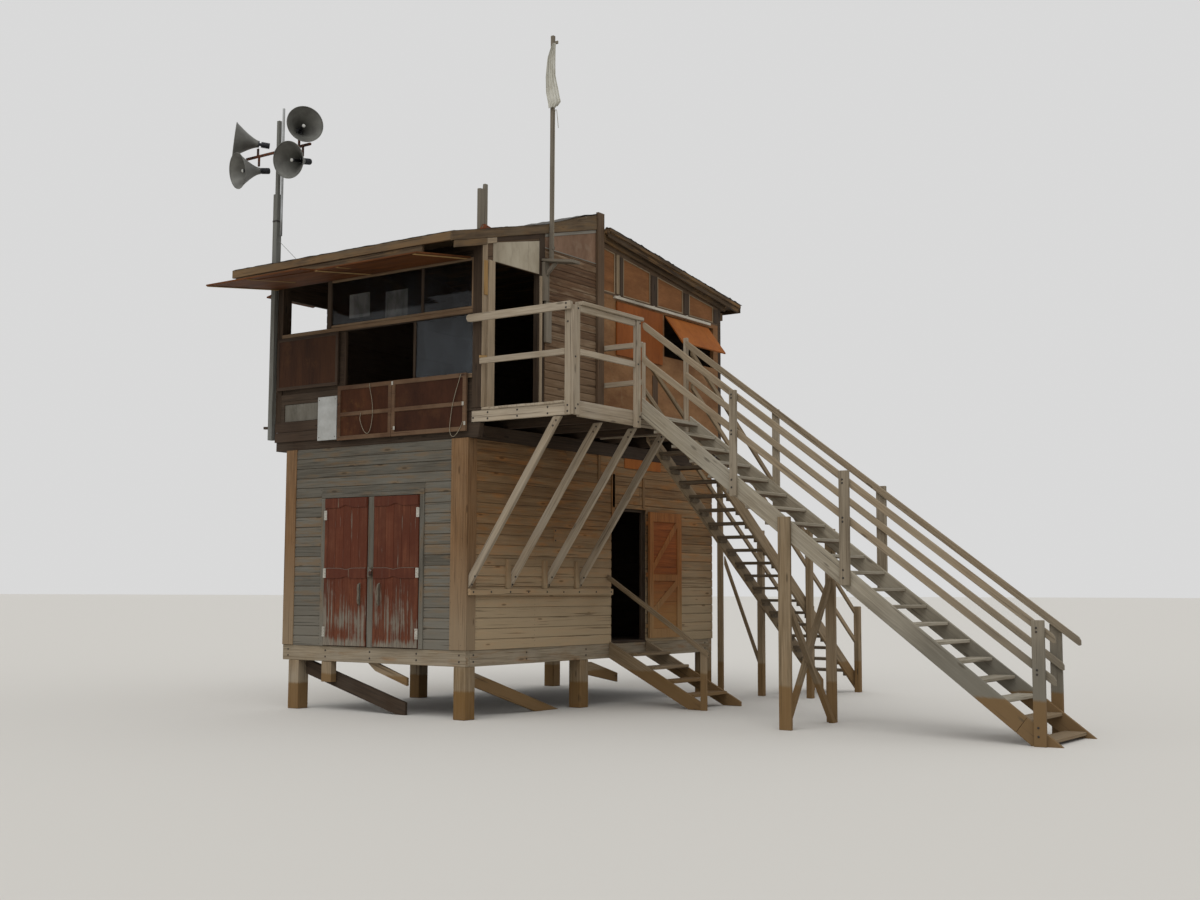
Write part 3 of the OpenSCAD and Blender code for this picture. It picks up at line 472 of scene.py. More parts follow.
def add_piece(name, verts, faces, finish, body=TOWER, grain=None, tone=None, smooth=False):
    """Puts worked-out arrays into a closed mesh piece at the origin that rides on a body. Faces is a list
    of arrays, one for each number of corners."""
    mesh = bpy.data.meshes.new(name)
    rings = [ring for group in faces for ring in group.reshape(-1, group.shape[-1]).tolist()]
    mesh.from_pydata(row(verts).reshape(-1, 3).tolist(), [], rings)
    work = bmesh.new()
    work.from_mesh(mesh)
    bmesh.ops.recalc_face_normals(work, faces=work.faces)
    work.to_mesh(mesh)
    work.free()
    if grain is not None:
        write(mesh, "grain", grain)
    if tone is not None:
        write(mesh, "tone", tone)
    mesh.polygons.foreach_set("use_smooth", [smooth] * len(mesh.polygons))
    mesh.materials.append(FINISH[finish])
    mesh.update()
    return place_piece(name, mesh, body)


def ease_edges(piece, width):
    """A small flat along each sharp edge."""
    ease = piece.modifiers.new("eased_edges", "BEVEL")
    ease.width = width / 1000
    ease.segments = 1
    ease.limit_method = "ANGLE"


# a board's section: share of width, eases along width, share of thickness, eases along thickness
EASED = np.array([(0, 1, 0, 0), (1, -1, 0, 0), (1, 0, 0, 1), (1, 0, 1, -1),
                  (1, -1, 1, 0), (0, 1, 1, 0), (0, 0, 1, -1), (0, 0, 0, 1)], float)
# the same for a drop siding course: flat face, cove and tongue at its top
DROP = np.array([(0, 0, 0, 0), (1, 0, 0, 0), (1, 0, 0.25, 0), (0.92, 0, 0.35, 0),
                 (0.84, 0, 0.68, 0), (0.78, 0, 1, 0), (0, 1, 1, 0), (0, 0, 1, -1)], float)
STATIONS = 4
GRAIN_FIELD = 40  # metres of grain pattern that boards draw their own place from


def boards(name, start, run, wide, thick, finish, slot, body=TOWER, ease=2.0, section=EASED, jitter=0.0,
           seed=1):
    """Many boards at once. Each is its section carried along its run through four stations, drawn in at
    both ends by the ease: corner = start + run * s + wide * u + thick * v. Ends and face stray by up to the
    jitter; grain runs along the board and each has its own tone."""
    given = (np.atleast_2d(np.asarray(v, float)) for v in (start, run, wide, thick))
    start, run, wide, thick = np.broadcast_arrays(*given)
    rng = np.random.default_rng(seed)
    count, ring = len(start), len(section)
    long, width, depth = length_of(run), length_of(wide), length_of(thick)
    start = start + rng.uniform(-jitter, 0, (count, 1)) * thick / depth
    run = run * (1 - rng.uniform(0, jitter, (count, 1)) / long)
    station = np.concatenate([np.zeros_like(long), ease / long, 1 - ease / long, np.ones_like(long)], 1)
    across = section[None, :, 0] + section[None, :, 1] * ease / width
    through = section[None, :, 2] + section[None, :, 3] * ease / depth
    draw = np.array([1.0, 0.0, 0.0, 1.0])[None, :, None]
    narrowing, thinning = (2 * ease / width)[:, None], np.minimum(2 * ease / depth, 0.8)[:, None]
    across = across[:, None, :] + draw * (0.5 - across[:, None, :]) * narrowing
    through = through[:, None, :] + draw * (0.5 - through[:, None, :]) * thinning
    station = np.broadcast_to(station[:, :, None], across.shape)
    verts = start[:, None, None] + station[..., None] * run[:, None, None]
    verts = verts + across[..., None] * wide[:, None, None] + through[..., None] * thick[:, None, None]
    local = np.stack([station * long[:, None], across * width[:, None], through * depth[:, None]], -1) / 1000
    grain = local + rng.uniform(0, GRAIN_FIELD, (count, 1, 1, 3))
    tone = np.broadcast_to(rng.uniform(0, 1, (count, 1, 1)), across.shape)
    shift = (np.arange(count) * ring * STATIONS)[:, None, None]
    ends = np.arange(ring) + np.array([[0], [(STATIONS - 1) * ring]])
    faces = [net(STATIONS, ring, wrap_columns=True) + shift, ends + shift]
    return add_piece(name, verts, faces, finish, body, grain, tone)


LONGEST_BOARD, BUTT_GAP, LEAST_HEIGHT = 4200, 2, 12


def courses(spans, base, pitch, seed):
    """Rows of boards at one pitch from a base height, over spans (low end, high end, from z, to z), each
    row cut where a span ends and butt-jointed at places that differ from row to row. Gives ends and
    heights, (n, 4)."""
    rng = np.random.default_rng(seed)
    made = []
    for low, high, z0, z1 in spans:
        for k in range(math.ceil((z0 - base) / pitch - 0.999), math.ceil((z1 - base) / pitch)):
            bottom, head = max(base + k * pitch, z0), min(base + (k + 1) * pitch, z1)
            if head - bottom < LEAST_HEIGHT:
                continue
            cuts = [low, high]
            if high - low >= LONGEST_BOARD:
                cuts.insert(1, low + (high - low) * rng.uniform(0.3, 0.7))
            half = BUTT_GAP / 2
            made += [(a + half, b - half, bottom, head) for a, b in zip(cuts, cuts[1:])]
    return np.array(made)


# each wall: the axis that it lies along, the axis that it faces, and which way
WALLS = {"front": (X, Y, -1), "right": (Y, X, 1), "left": (Y, X, -1), "rear": (X, Y, 1)}
COURSE_GAP = 4.0


def siding(name, rows, side, face, thick, finish, slot, seed):
    """Courses on one wall, whose face lies at this depth."""
    along, out, sign = WALLS[side]
    start = vectors(along, rows[:, 0]) + vectors(out, [face] * len(rows)) + vectors(Z, rows[:, 2])
    run = vectors(along, rows[:, 1] - rows[:, 0])
    wide = vectors(Z, rows[:, 3] - rows[:, 2] - COURSE_GAP)
    boards(name, start, run, wide, vectors(out, [sign * thick]), finish, slot, section=DROP, jitter=1.2,
           seed=seed)


def domes(name, centres, normals, radius, finish, body=TOWER, height=0.55, sides=8):
    """Bolt or nail heads: each a low dome of two rings and a crown, square to its surface."""
    given = (np.atleast_2d(np.asarray(v, float)) for v in (centres, normals))
    centres, normals = np.broadcast_arrays(*given)
    radius = np.broadcast_to(np.asarray(radius, float), (len(centres),))[:, None, None]
    normals = normals / length_of(normals)
    other = np.where(np.abs(normals[:, 2:3]) < 0.9, [[0.0, 0.0, 1.0]], [[1.0, 0.0, 0.0]])
    side = np.cross(normals, other)
    side /= length_of(side)
    flat = circle(side, np.cross(normals, side), sides)
    lift = normals[:, None] * radius * height
    foot = centres[:, None] + flat * radius
    shoulder = centres[:, None] + flat * radius * 0.82 + lift * 0.7
    shift = (np.arange(len(centres)) * (2 * sides + 1))[:, None, None]
    corner = np.arange(sides)
    crown = np.stack([sides + corner, sides + (corner + 1) % sides, np.full(sides, 2 * sides)], 1)
    faces = [net(2, sides, wrap_columns=True) + shift, crown + shift, corner + shift]
    verts = np.concatenate([foot, shoulder, centres[:, None] + lift], 1)
    add_piece(name, verts, faces, finish, body)


def prisms(name, base, rise, finish, body=TOWER, grain=None, tone=None):
    """Closed solids: base polygons (n, corners, 3), carried along one vector or each along its own."""
    count, sides = base.shape[:2]
    shift = (np.arange(count) * sides * 2)[:, None, None]
    caps = np.arange(sides * 2).reshape(2, sides) + shift
    walls = net(2, sides, wrap_columns=True) + shift
    verts = np.concatenate([base, base + rise], 1)
    return add_piece(name, verts, [caps, walls], finish, body, grain, tone)


def panels(name, corners, thick, finish, seed):
    """Flat pieces of four corners each (n, 4, 3), given a thickness along one vector; grain along their
    first edge."""
    corners = np.asarray(corners, float)
    rng = np.random.default_rng(seed)
    along = corners[:, 1] - corners[:, 0]
    along = along / length_of(along)
    up = np.cross(np.cross(along, corners[:, 3] - corners[:, 0]), along)
    up /= length_of(up)
    verts = np.concatenate([corners, corners + np.asarray(thick, float)], 1)
    grain = points((verts * along[:, None]).sum(2), (verts * up[:, None]).sum(2), 0) / 1000
    grain = grain + rng.uniform(0, GRAIN_FIELD, (len(corners), 1, 3))
    tone = np.repeat(rng.uniform(0, 1, len(corners)), 8)
    prisms(name, corners, np.asarray(thick, float), finish, grain=grain, tone=tone)


def sheets(name, finish, slot, *spans, ease=1.0):
    """Thin panels, each between two corners, lying flat in its two long directions."""
    low = np.array([s[:3] for s in spans], float)
    size = np.array([s[3:] for s in spans], float) - low
    order = np.argsort(size, axis=1)
    thick, wide, run = (np.where(np.arange(3) == order[:, rank, None], size, 0.0) for rank in range(3))
    boards(name, low, run, wide, thick, finish, slot, ease=ease, seed=len(name))


def revolved(name, loop, origin, axis, finish, slot, sides=48, smooth=True):
    """A closed profile (radius, distance along) turned round an axis line: point = origin + axis * distance
    + (side cos + up sin) * radius."""
    loop, axis = np.asarray(loop, float), np.asarray(axis, float)
    side = np.cross(axis, [0, 0, 1.0])
    side /= np.linalg.norm(side)
    flat = circle(side, np.cross(side, axis), sides)
    verts = np.asarray(origin, float) + loop[:, 1, None, None] * axis + loop[:, 0, None, None] * flat
    return add_piece(name, verts, [net(len(loop), sides, True, True)], finish, smooth=smooth)


def smooth_route(places, steps):
    """Points joined by Catmull-Rom curves, each stretch cut into steps."""
    places = np.asarray(places, float)
    ends = np.vstack([2 * places[0] - places[1], places, 2 * places[-1] - places[-2]])
    a, b, c, d = (ends[k:len(places) - 1 + k, None] for k in range(4))
    t = (np.arange(steps) / steps)[None, :, None]
    curve = 2 * b + (c - a) * t + (2 * a - 5 * b + 4 * c - d) * t**2 + (3 * b - a - 3 * c + d) * t**3
    return np.vstack([0.5 * curve.reshape(-1, 3), places[-1:]])


def tube(name, route, radius, finish, body=TOWER, sides=10, smooth=True):
    """Rings square to a route, turned as little as possible: point = route + radius * (side cos + up sin).
    The grain is metres along and turns round."""
    step = np.gradient(route, axis=0)
    step /= length_of(step)
    side = np.cross(step, [0.13, 0.97, 0.2])
    side /= length_of(side)
    verts = route[:, None] + radius * circle(side, np.cross(step, side), sides)
    run = np.concatenate([[0], np.cumsum(np.linalg.norm(np.diff(route, axis=0), axis=1))]) / 1000
    grain = points(run[:, None], np.arange(sides) / sides, 0)
    ends = np.arange(sides) + np.array([[0], [(len(route) - 1) * sides]])
    faces = [net(len(route), sides, wrap_columns=True), ends]
    return add_piece(name, verts, faces, finish, body, grain, smooth=smooth)


def sheet_of(name, face, back, finish, grain=None, smooth=False):
    """A thin closed sheet between two grids of points (rows, columns, 3), its face and its back, joined
    round."""
    rows, columns = face.shape[:2]
    count = rows * columns
    index = np.arange(count).reshape(rows, columns)
    rim = np.concatenate([index[0], index[1:, -1], index[-1, -2::-1], index[-2:0:-1, 0]])
    walls = np.stack([rim, np.roll(rim, -1), np.roll(rim, -1) + count, rim + count], 1)
    flat = net(rows, columns)
    if grain is not None:
        grain = np.stack([grain] * 2)
    return add_piece(name, np.stack([face, back]), [flat, flat + count, walls], finish, grain=grain,
                     smooth=smooth)


def rough(shape, seed, cells):
    """Smooth random values between -1 and 1 over a grid: a coarse random grid eased up to the wanted
    size."""
    rng = np.random.default_rng(seed)
    coarse = rng.uniform(-1, 1, (cells[0] + 1, cells[1] + 1))
    at = [np.linspace(0, c - 1e-6, n) for c, n in zip(cells, shape)]
    low = [a.astype(int) for a in at]
    part = [(a - b) ** 2 * (3 - 2 * (a - b)) for a, b in zip(at, low)]
    i, j = np.meshgrid(*low, indexing="ij")
    s, t = np.meshgrid(*part, indexing="ij")
    first = coarse[i, j] * (1 - t) + coarse[i, j + 1] * t
    second = coarse[i + 1, j] * (1 - t) + coarse[i + 1, j + 1] * t
    return first * (1 - s) + second * s


# Finished copies of the model's timbers
def islands(mesh):
    """The separate solids of a bmesh, as lists of vertices."""
    seen, found = set(), []
    for start in mesh.verts:
        if start in seen:
            continue
        seen.add(start)
        group, wait = [], [start]
        while wait:
            vert = wait.pop()
            group.append(vert)
            for edge in vert.link_edges:
                other = edge.other_vert(vert)
                if other not in seen:
                    seen.add(other)
                    wait.append(other)
        found.append(group)
    return found


def in_order(parts):
    """Edges or faces without repeats, by their number, so that each run takes them alike."""
    return sorted(set(parts), key=lambda part: part.index)


def own_axes(solid, sides):
    """A solid's axes: along its longest edge, across, and through its largest face."""
    edges = in_order(e for v in solid for e in v.link_edges)
    spans = np.array([(e.verts[1].co - e.verts[0].co)[:] for e in edges])
    along = spans[np.argmax((spans**2).sum(1).round(9))]
    along = along / np.linalg.norm(along)
    through = np.array(max(sides, key=lambda f: round(f.calc_area(), 9)).normal[:])
    through = through - along * (through @ along)
    through /= np.linalg.norm(through) + 1e-9
    return np.array([along, np.cross(through, along), through])


def first_match(rules, *place):
    """The number of the first rule whose test passes, counted from 1, or 0."""
    return next((k for k, (test, _) in enumerate(rules, 1) if test(*place)), 0)


def dress(node, finish, bevel, body=TOWER, rules=(), shape=None, spots=()):
    """A finished copy of a CAD node: its doubles merged and flats joined, each solid given a grain that
    runs along its longest edge and a tone of its own, and its edges eased. It replaces the node. A rule is
    a test of a solid's low and high corner and the finish that such a solid takes instead. A shape takes a
    solid's corners and gives them back where the photo shows them. Spots are tests of a single face's
    middle, each with the finish of such faces."""
    rng = np.random.default_rng(sum(map(ord, node)))
    work = bmesh.new()
    work.from_mesh(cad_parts[node].data)
    bmesh.ops.remove_doubles(work, verts=work.verts, dist=1e-5)
    bmesh.ops.dissolve_limit(work, angle_limit=0.01, verts=work.verts, edges=work.edges)
    for parts in (work.verts, work.edges, work.faces):
        parts.index_update()
    grain = np.zeros((len(work.verts), 3))
    tone = np.zeros(len(work.verts))
    for solid in islands(work):
        index = [v.index for v in solid]
        at = np.array([v.co for v in solid])
        if shape is not None:
            at = row(shape(wall(at)))
            for corner, place in zip(solid, at):
                corner.co = place
        sides = in_order(f for v in solid for f in v.link_faces)
        grain[index] = (at - at.mean(0)) @ own_axes(solid, sides).T + rng.uniform(0, GRAIN_FIELD, 3)
        tone[index] = rng.uniform()
        choice = first_match(rules, wall(at.min(0)), wall(at.max(0)))
        for side in sides:
            spot = first_match(spots, wall(side.calc_center_median()))
            side.material_index = len(rules) + spot if spot else choice
    mesh = bpy.data.meshes.new(node + "_dressed")
    for name in (finish, *(other for _, other in (*rules, *spots))):
        mesh.materials.append(FINISH[name])
    work.to_mesh(mesh)
    work.free()
    write(mesh, "grain", grain)
    write(mesh, "tone", tone)
    piece = place_piece(node + "_dressed", mesh, body)
    if bevel:
        ease_edges(piece, bevel)
    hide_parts(node)


# Cords
def hang_rope(node, places, diameter):
    """A cord along its own points from part.scad, as a round tube of its real length."""
    route = smooth_route(places, 6)
    piece = tube(node + "_strands", route, diameter / 2, "fibre_rope")
    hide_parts(node)


HALYARD = [(306, 1322, 6047), (308, 1318, 6400), (309, 1318, 6900), (310, 1318, 7400), (312, 1317, 7780),
           (316, 1316, 7868), (330, 1315, 7884), (344, 1315, 7866), (352, 1315, 7800), (362, 1315, 7720),
           (372, 1315, 7630)]
LEFT_ROPE = [(-1625, -68, 4232), (-1606, -68, 4140), (-1570, -68, 3990), (-1560, -68, 3860),
             (-1572, -68, 3730), (-1600, -68, 3630), (-1645, -68, 3584), (-1700, -68, 3610),
             (-1752, -68, 3690), (-1784, -68, 3780), (-1768, -68, 3862)]
RIGHT_ROPE = [(-68, -68, 4226), (-100, -68, 4140), (-150, -68, 4007), (-196, -68, 3860), (-226, -68, 3704),
              (-240, -68, 3560), (-222, -68, 3482), (-172, -68, 3458), (-116, -68, 3500), (-66, -68, 3566),
              (-28, -68, 3640)]
hang_rope("halyard", HALYARD, 7)
hang_rope("shutter_rope_left", LEFT_ROPE, 8)
hang_rope("shutter_rope_right", RIGHT_ROPE, 8)


# Timbers
def wider(axis, size):
    """A rule's test: the solid reaches at least this far along an axis."""
    return lambda low, high: high[axis] - low[axis] >= size


def above(axis, level):
    return lambda low, high: low[axis] >= level


def below(axis, level):
    return lambda low, high: high[axis] <= level


def box_in(x0, x1, y0, y1):
    """A rule's test: the solid stands inside these widths and depths."""
    return lambda low, high: low[X] >= x0 and high[X] <= x1 and low[Y] >= y0 and high[Y] <= y1


def tall_left(low, high):
    """The upright frame pieces left of the last one."""
    return high[Z] - low[Z] > 250 and high[X] < -150


def on_pull(middle):
    """A spot's test: the front leaves' wooden pulls stand proud at hand height."""
    return middle[Y] < -33 and 1360 < middle[Z] < 1670


# finish, slot, eased edge in mm, the nodes that take them, and rules for solids that differ
DRESSED = (
    ("foundation_timber", "grey_timber", 8, "foundation_posts"),
    # the long crossed planks under the hut take the dark timber as painted shade, for the hut's shadow over
    # them
    ("prop_timber", "grey_timber", 4, "under_braces", (wider(X, 900), "dark_timber")),
    ("prop_timber", "grey_timber", 4, "side_steps side_steps_rail rear_stringers rear_rails"),
    ("sill_timber", "grey_timber", 6, "sill_beams"),
    ("dark_timber", "grey_timber", 0, "hut_floor"),
    ("dark_timber", "wall_boards", 0, "front_wall side_wall back_walls"),
    ("corner_timber", "wall_boards", 4, "hut_corner_boards"),
    ("front_boarding", "grey_timber", 3, "front_door_frame"),
    ("dark_timber", "dark_timber", 3, "side_door_frame cabin_floor cabin_left_wall cabin_rear_wall"),
    ("dark_timber", "dark_timber", 4, "floor_joists"),
    ("dark_timber", "dark_timber", 5, "hut_top_beams"),
    ("side_boarding", "grey_timber", 3, "brace_ledger"),
    ("balcony_timber", "grey_timber", 4, "balcony_braces balcony_beams balcony_posts balcony_rails"),
    ("dark_timber", "dark_timber", 4, "cabin_posts", (box_in(207, 227, 17, 85), "yellow_batten"),
     (box_in(190, 253, 2400, 2560), "upper_frame_timber"), (above(X, 190), "pale_timber")),
    ("dark_timber", "dark_timber", 3, "cabin_front_boards", (below(Y, 0), "cabin_lower_boards")),
    ("window_timber", "dark_timber", 3, "front_window_frames", (tall_left, "dark_timber")),
    ("shutter_frame", "plywood", 3, "front_shutters"),
    ("flap_sheet", "plywood", 2, "front_awnings left_awning"),
    ("upper_frame_timber", "plywood", 3, "cabin_side_wall", (above(X, 205), "pale_ledge"),
     (above(Z, 6000), "gable_sheet"), (wider(X, 45), "lower_side_sheet")),
    ("side_shutter_sheet", "plywood", 2, "side_shutter"),
    ("orange_flap_sheet", "plywood", 2, "side_awning"),
    ("roof_edge_timber", "roofing", 3, "roof_slopes", (above(Y, 2480), "rear_verge_timber")),
    ("roof_edge_timber", "dark_timber", 5, "roof_fascias", (box_in(187, 231, -102, 62), "stub_post_timber"),
     (above(Y, 2500), "rear_verge_timber")),
    ("tread_timber", "grey_timber", 6, "main_treads"),
    # the rear treads' timber carries painted shade
    ("rear_stair_timber", "grey_timber", 4, "rear_treads"),
    ("mast_timber", "mast_timber", 3, "speaker_mast", (box_in(-3440, -3400, -40, 10), "galvanised_pipe")),
    ("pole_timber", "mast_timber", 3, "flagpole"),
    ("bare_white_board", "sign_white", 2, "sign_board"),
)
for finish, slot, bevel, nodes, *rules in DRESSED:
    for node in nodes.split():
        dress(node, finish, bevel, rules=rules)
for leaf in ("left", "right"):
    dress("front_door_" + leaf, "red_rail_paint", 2, leaf + "_leaf",
          spots=[(on_pull, "stub_post_timber")])
dress("side_door", "side_door_rails", 3, "side_leaf")
glass_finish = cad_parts["front_glass"].data.materials
glass_finish.clear()
glass_finish.append(FINISH["window_glass"])


# Main stair
STEP_RISE, STEP_RUN = 193, 258
FALL = STEP_RISE / STEP_RUN
FAR_SIDE = 2400  # what stands beyond this depth belongs to the stair's far side
POSTS_DOWN_STAIR = (2945, 4360, 6520)
POSTS_BACK = (88, 102, 213)  # how far each far post stands up the stair from the near one
POST_DROPS = ((94, 100), (40, 100), (0, 65))  # how much lower its foot and head are
STRINGER_TOP_X, STRINGER_DEPTH, STRINGER_THICK, BURIED = 1668, 250, 45, 40
NEAR_FALL = 0.7705
SPLICE_X, SPLICE_GAP = 6437.0, 3


def stretched(values, factor):
    """Values spread from the middle of their range."""
    middle = (values.min() + values.max()) / 2
    return middle + (values - middle) * factor


def far_rails(at):
    """The far rails stand lower than the near ones, start at the balcony's far post and end sooner."""
    if at[:, Y].min() > FAR_SIDE:
        top = at[:, Z].max() > 4700
        along = np.where(at[:, X] < 1710, -80.0, 0) + np.where(at[:, X] > 6700, -90.0 if top else -280.0, 0)
        at = at + points(along, 0, -along * FALL - (125 if top else 110))
    return at


def far_posts(at):
    """Each far post stands a little up the stair from the near one, its head lower."""
    if at[:, Y].min() > FAR_SIDE:
        which = POSTS_DOWN_STAIR.index(round(float(at[:, X].min())))
        foot, head = POST_DROPS[which]
        high = at[:, Z] > at[:, Z].mean()
        at = at - points(POSTS_BACK[which], 0, np.where(high, head, foot))
    return at


def support_frame(at):
    """The near leg is wider, the far one stops under the far stringer's upper edge, and the crossed planks
    are thicker and run down to the ground; the one that rises to the far leg reaches higher."""
    x, y, z = at.T
    if y.min() > FAR_SIDE:
        return points(x, y, np.minimum(z, 2330))
    if y.max() < 1500:
        return points(stretched(x, 1.3), y, z)
    reach = 230 if (x.min() + x.max()) / 2 < 3650 else 0
    return points(stretched(x, 1.6), y, np.where(z < 850, z - 190, z + reach))


def stout_posts(at):
    """The rear stair's posts are as thick as they are wide."""
    x, y, z = at.T
    if x.max() - x.min() < 60 and z.max() - z.min() > 1000:
        x = stretched(x, 2.2)
    return points(x, y, z)


def stout_brackets(at):
    """The horns' brackets are half as wide again, and the upper left one reaches its horn's neck."""
    x, y, z = at.T
    if x.max() - x.min() < 50:
        x = stretched(x, 1.5)
        z = z + np.where((z > 7740) & (x < -3800), 60, 0)
    return points(x, y, z)


def stringer_outlines(head, fall, splice):
    """A sloping band of even depth from the balcony to the ground, in one length or cut square across."""
    start = [(STRINGER_TOP_X, head), (STRINGER_TOP_X, head - STRINGER_DEPTH)]
    ground = [(STRINGER_TOP_X + (top + BURIED) / fall, -BURIED) for top in (head - STRINGER_DEPTH, head)]
    if splice is None:
        return [start + ground]
    under = splice - STRINGER_DEPTH * fall / (1 + fall**2)
    low = (under, head - fall * (under - STRINGER_TOP_X) - STRINGER_DEPTH)
    high = (splice, head - fall * (splice - STRINGER_TOP_X))
    return [start + [low, high], [(x + SPLICE_GAP, z) for x, z in (high, low)] + ground]


def stair_planks():
    """The two stringers; the near one falls a little steeper and is spliced near its foot; the far one's
    upper edge runs along the treads' noses."""
    near = stringer_outlines(3960.0, NEAR_FALL, SPLICE_X)
    far = stringer_outlines(3842.0, FALL, None)
    rng = np.random.default_rng(95)
    outline = np.array(near + far, float)
    depth = np.repeat([1345.0, 2475.0], (len(near), len(far)))[:, None]
    slope = np.repeat([NEAR_FALL, FALL], (len(near), len(far)))[:, None]
    base = points(outline[:, :, 0], depth, outline[:, :, 1])
    verts = np.concatenate([base, base + [0, STRINGER_THICK, 0]], 1)
    cos, sin = np.cos(np.arctan(slope)), np.sin(np.arctan(slope))
    along = verts[:, :, X] * cos - verts[:, :, Z] * sin
    across = verts[:, :, X] * sin + verts[:, :, Z] * cos
    grain = points(along, across, verts[:, :, Y]) / 1000 + rng.uniform(0, GRAIN_FIELD, (len(base), 1, 3))
    tone = np.repeat(rng.uniform(0.3, 0.8, len(base)), 8)
    piece = prisms("stair_planks", base, [0, STRINGER_THICK, 0], "stair_timber", grain=grain,
                   tone=tone)
    ease_edges(piece, 4)
    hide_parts("main_stringers")


dress("main_posts", "stair_post_timber", 4, shape=far_posts)
dress("main_rails", "stair_rail_timber", 4, shape=far_rails)
dress("main_supports", "prop_timber", 5, shape=support_frame)
dress("speaker_arms", "rusted_bar", 3, shape=stout_brackets)
dress("rear_supports", "prop_timber", 4, shape=stout_posts)
stair_planks()


# Boarding
HUT_FOOT, HUT_HEAD, HUT_PITCH = 840, 3440, 130
CABIN_FOOT, CABIN_PITCH = 3800, 105
HUT_FACE, LEFT_FACE, REAR_FACE = 0, -3150, 5800
CABIN_RIGHT, CABIN_LEFT, CABIN_REAR = 206, -3460, 5765
BACK_LOW, BACK_HIGH = 122, 5765  # where the cabin's left boards begin and end
GABLE_HEAD, UNDER_ROOF = 6340, 64  # how high they go, and how far under the roof's upper face they stop
HUT_BOARD, CABIN_BOARD = 12, 10
RIDGE_Y, FRONT_FALL, REAR_FALL = 2500.0, 0.25, 0.1394
FRONT_RIDGE, REAR_RIDGE = 6654.0, 6556.0
DECK_LEFT, DECK_RIGHT, DECK_BOARDS = 208, 1598, 10


def board_hut():
    """Drop siding on the four walls of the lower hut, its courses broken by the doorways."""
    door_row = HUT_FOOT + 16 * HUT_PITCH
    front = [(-2998, -2498, HUT_FOOT, door_row), (-684, -247, HUT_FOOT, door_row),
             (-2498, -684, 2838, door_row), (-2998, -247, door_row, HUT_HEAD)]
    door_row = HUT_FOOT + 15 * HUT_PITCH
    right = [(160, 3083, HUT_FOOT, door_row), (3950, 5798, HUT_FOOT, door_row),
             (3083, 3950, 2725, door_row), (160, 5798, door_row, HUT_HEAD)]
    left = [(160, 5798, HUT_FOOT, HUT_HEAD)]
    rear = [(-3162, 12, HUT_FOOT, HUT_HEAD)]
    walls = (("front", front, HUT_FACE, 11), ("right", right, HUT_FACE, 13), ("left", left, LEFT_FACE, 15),
             ("rear", rear, REAR_FACE, 17))
    for side, spans, face, seed in walls:
        rows = courses(spans, HUT_FOOT, HUT_PITCH, seed)
        finish = "front_boarding" if side == "front" else "side_boarding"
        siding(side + "_siding", rows, side, face, HUT_BOARD, finish, "wall_boards", seed + 1)


def board_cabin():
    """Narrow peeled siding right of the balcony doorway; the hut's, dark, on the hidden left and rear
    walls, whose courses end under the roof's two falls and stop round the window."""
    bay = courses([(1262, 2404, CABIN_FOOT + 2, 6028)], CABIN_FOOT, CABIN_PITCH, 21)
    siding("cabin_siding", bay, "right", CABIN_RIGHT, CABIN_BOARD, "cabin_side_boarding", "wall_boards", 22)
    sill, head = CABIN_FOOT + 10 * HUT_PITCH, CABIN_FOOT + 14 * HUT_PITCH
    spans = [(BACK_LOW, BACK_HIGH, CABIN_FOOT, sill), (BACK_LOW, 219, sill, head),
             (929, BACK_HIGH, sill, head), (219, 929, 5562, head)]
    for z in range(head, GABLE_HEAD, HUT_PITCH):
        low = RIDGE_Y - (FRONT_RIDGE - UNDER_ROOF - z - HUT_PITCH) / FRONT_FALL
        high = RIDGE_Y + (REAR_RIDGE - UNDER_ROOF - z - HUT_PITCH) / REAR_FALL
        spans.append((max(low, BACK_LOW), min(high, BACK_HIGH), z, z + HUT_PITCH))
    left = courses(spans, CABIN_FOOT, HUT_PITCH, 23)
    rear = courses([(-3368, 104, CABIN_FOOT, 6030)], CABIN_FOOT, HUT_PITCH, 25)
    siding("cabin_left_siding", left, "left", CABIN_LEFT, CABIN_BOARD, "dark_timber", "dark_timber", 24)
    siding("cabin_rear_siding", rear, "rear", CABIN_REAR, CABIN_BOARD, "dark_timber", "dark_timber", 26)


def board_deck():
    """Boards across the balcony joists stand for its slab."""
    edge = np.linspace(DECK_LEFT, DECK_RIGHT, DECK_BOARDS + 1)
    start, wide = points(edge[:-1] + 2, -6, 3770), vectors(X, np.diff(edge) - 6)
    deck = boards("deck_boards", start, (0, 2566, 0), wide, (0, 0, 30), "balcony_timber", "grey_timber",
                  ease=4, jitter=3, seed=31)
    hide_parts("balcony_deck")


board_hut()
board_cabin()
board_deck()


# Doors
LEAF_FOOT, LEAF_HEAD = 848, 2761
HINGES = np.array([(960, 130), (1725, 122), (2482, 122)], float)  # foot and height
SEAMS = np.array([3, 69, 208, 347, 485, 624, 769], float)
KNUCKLES, KNUCKLE_R, KNUCKLE_Y = 5, 8, -37
PLATE_Y = -41.5


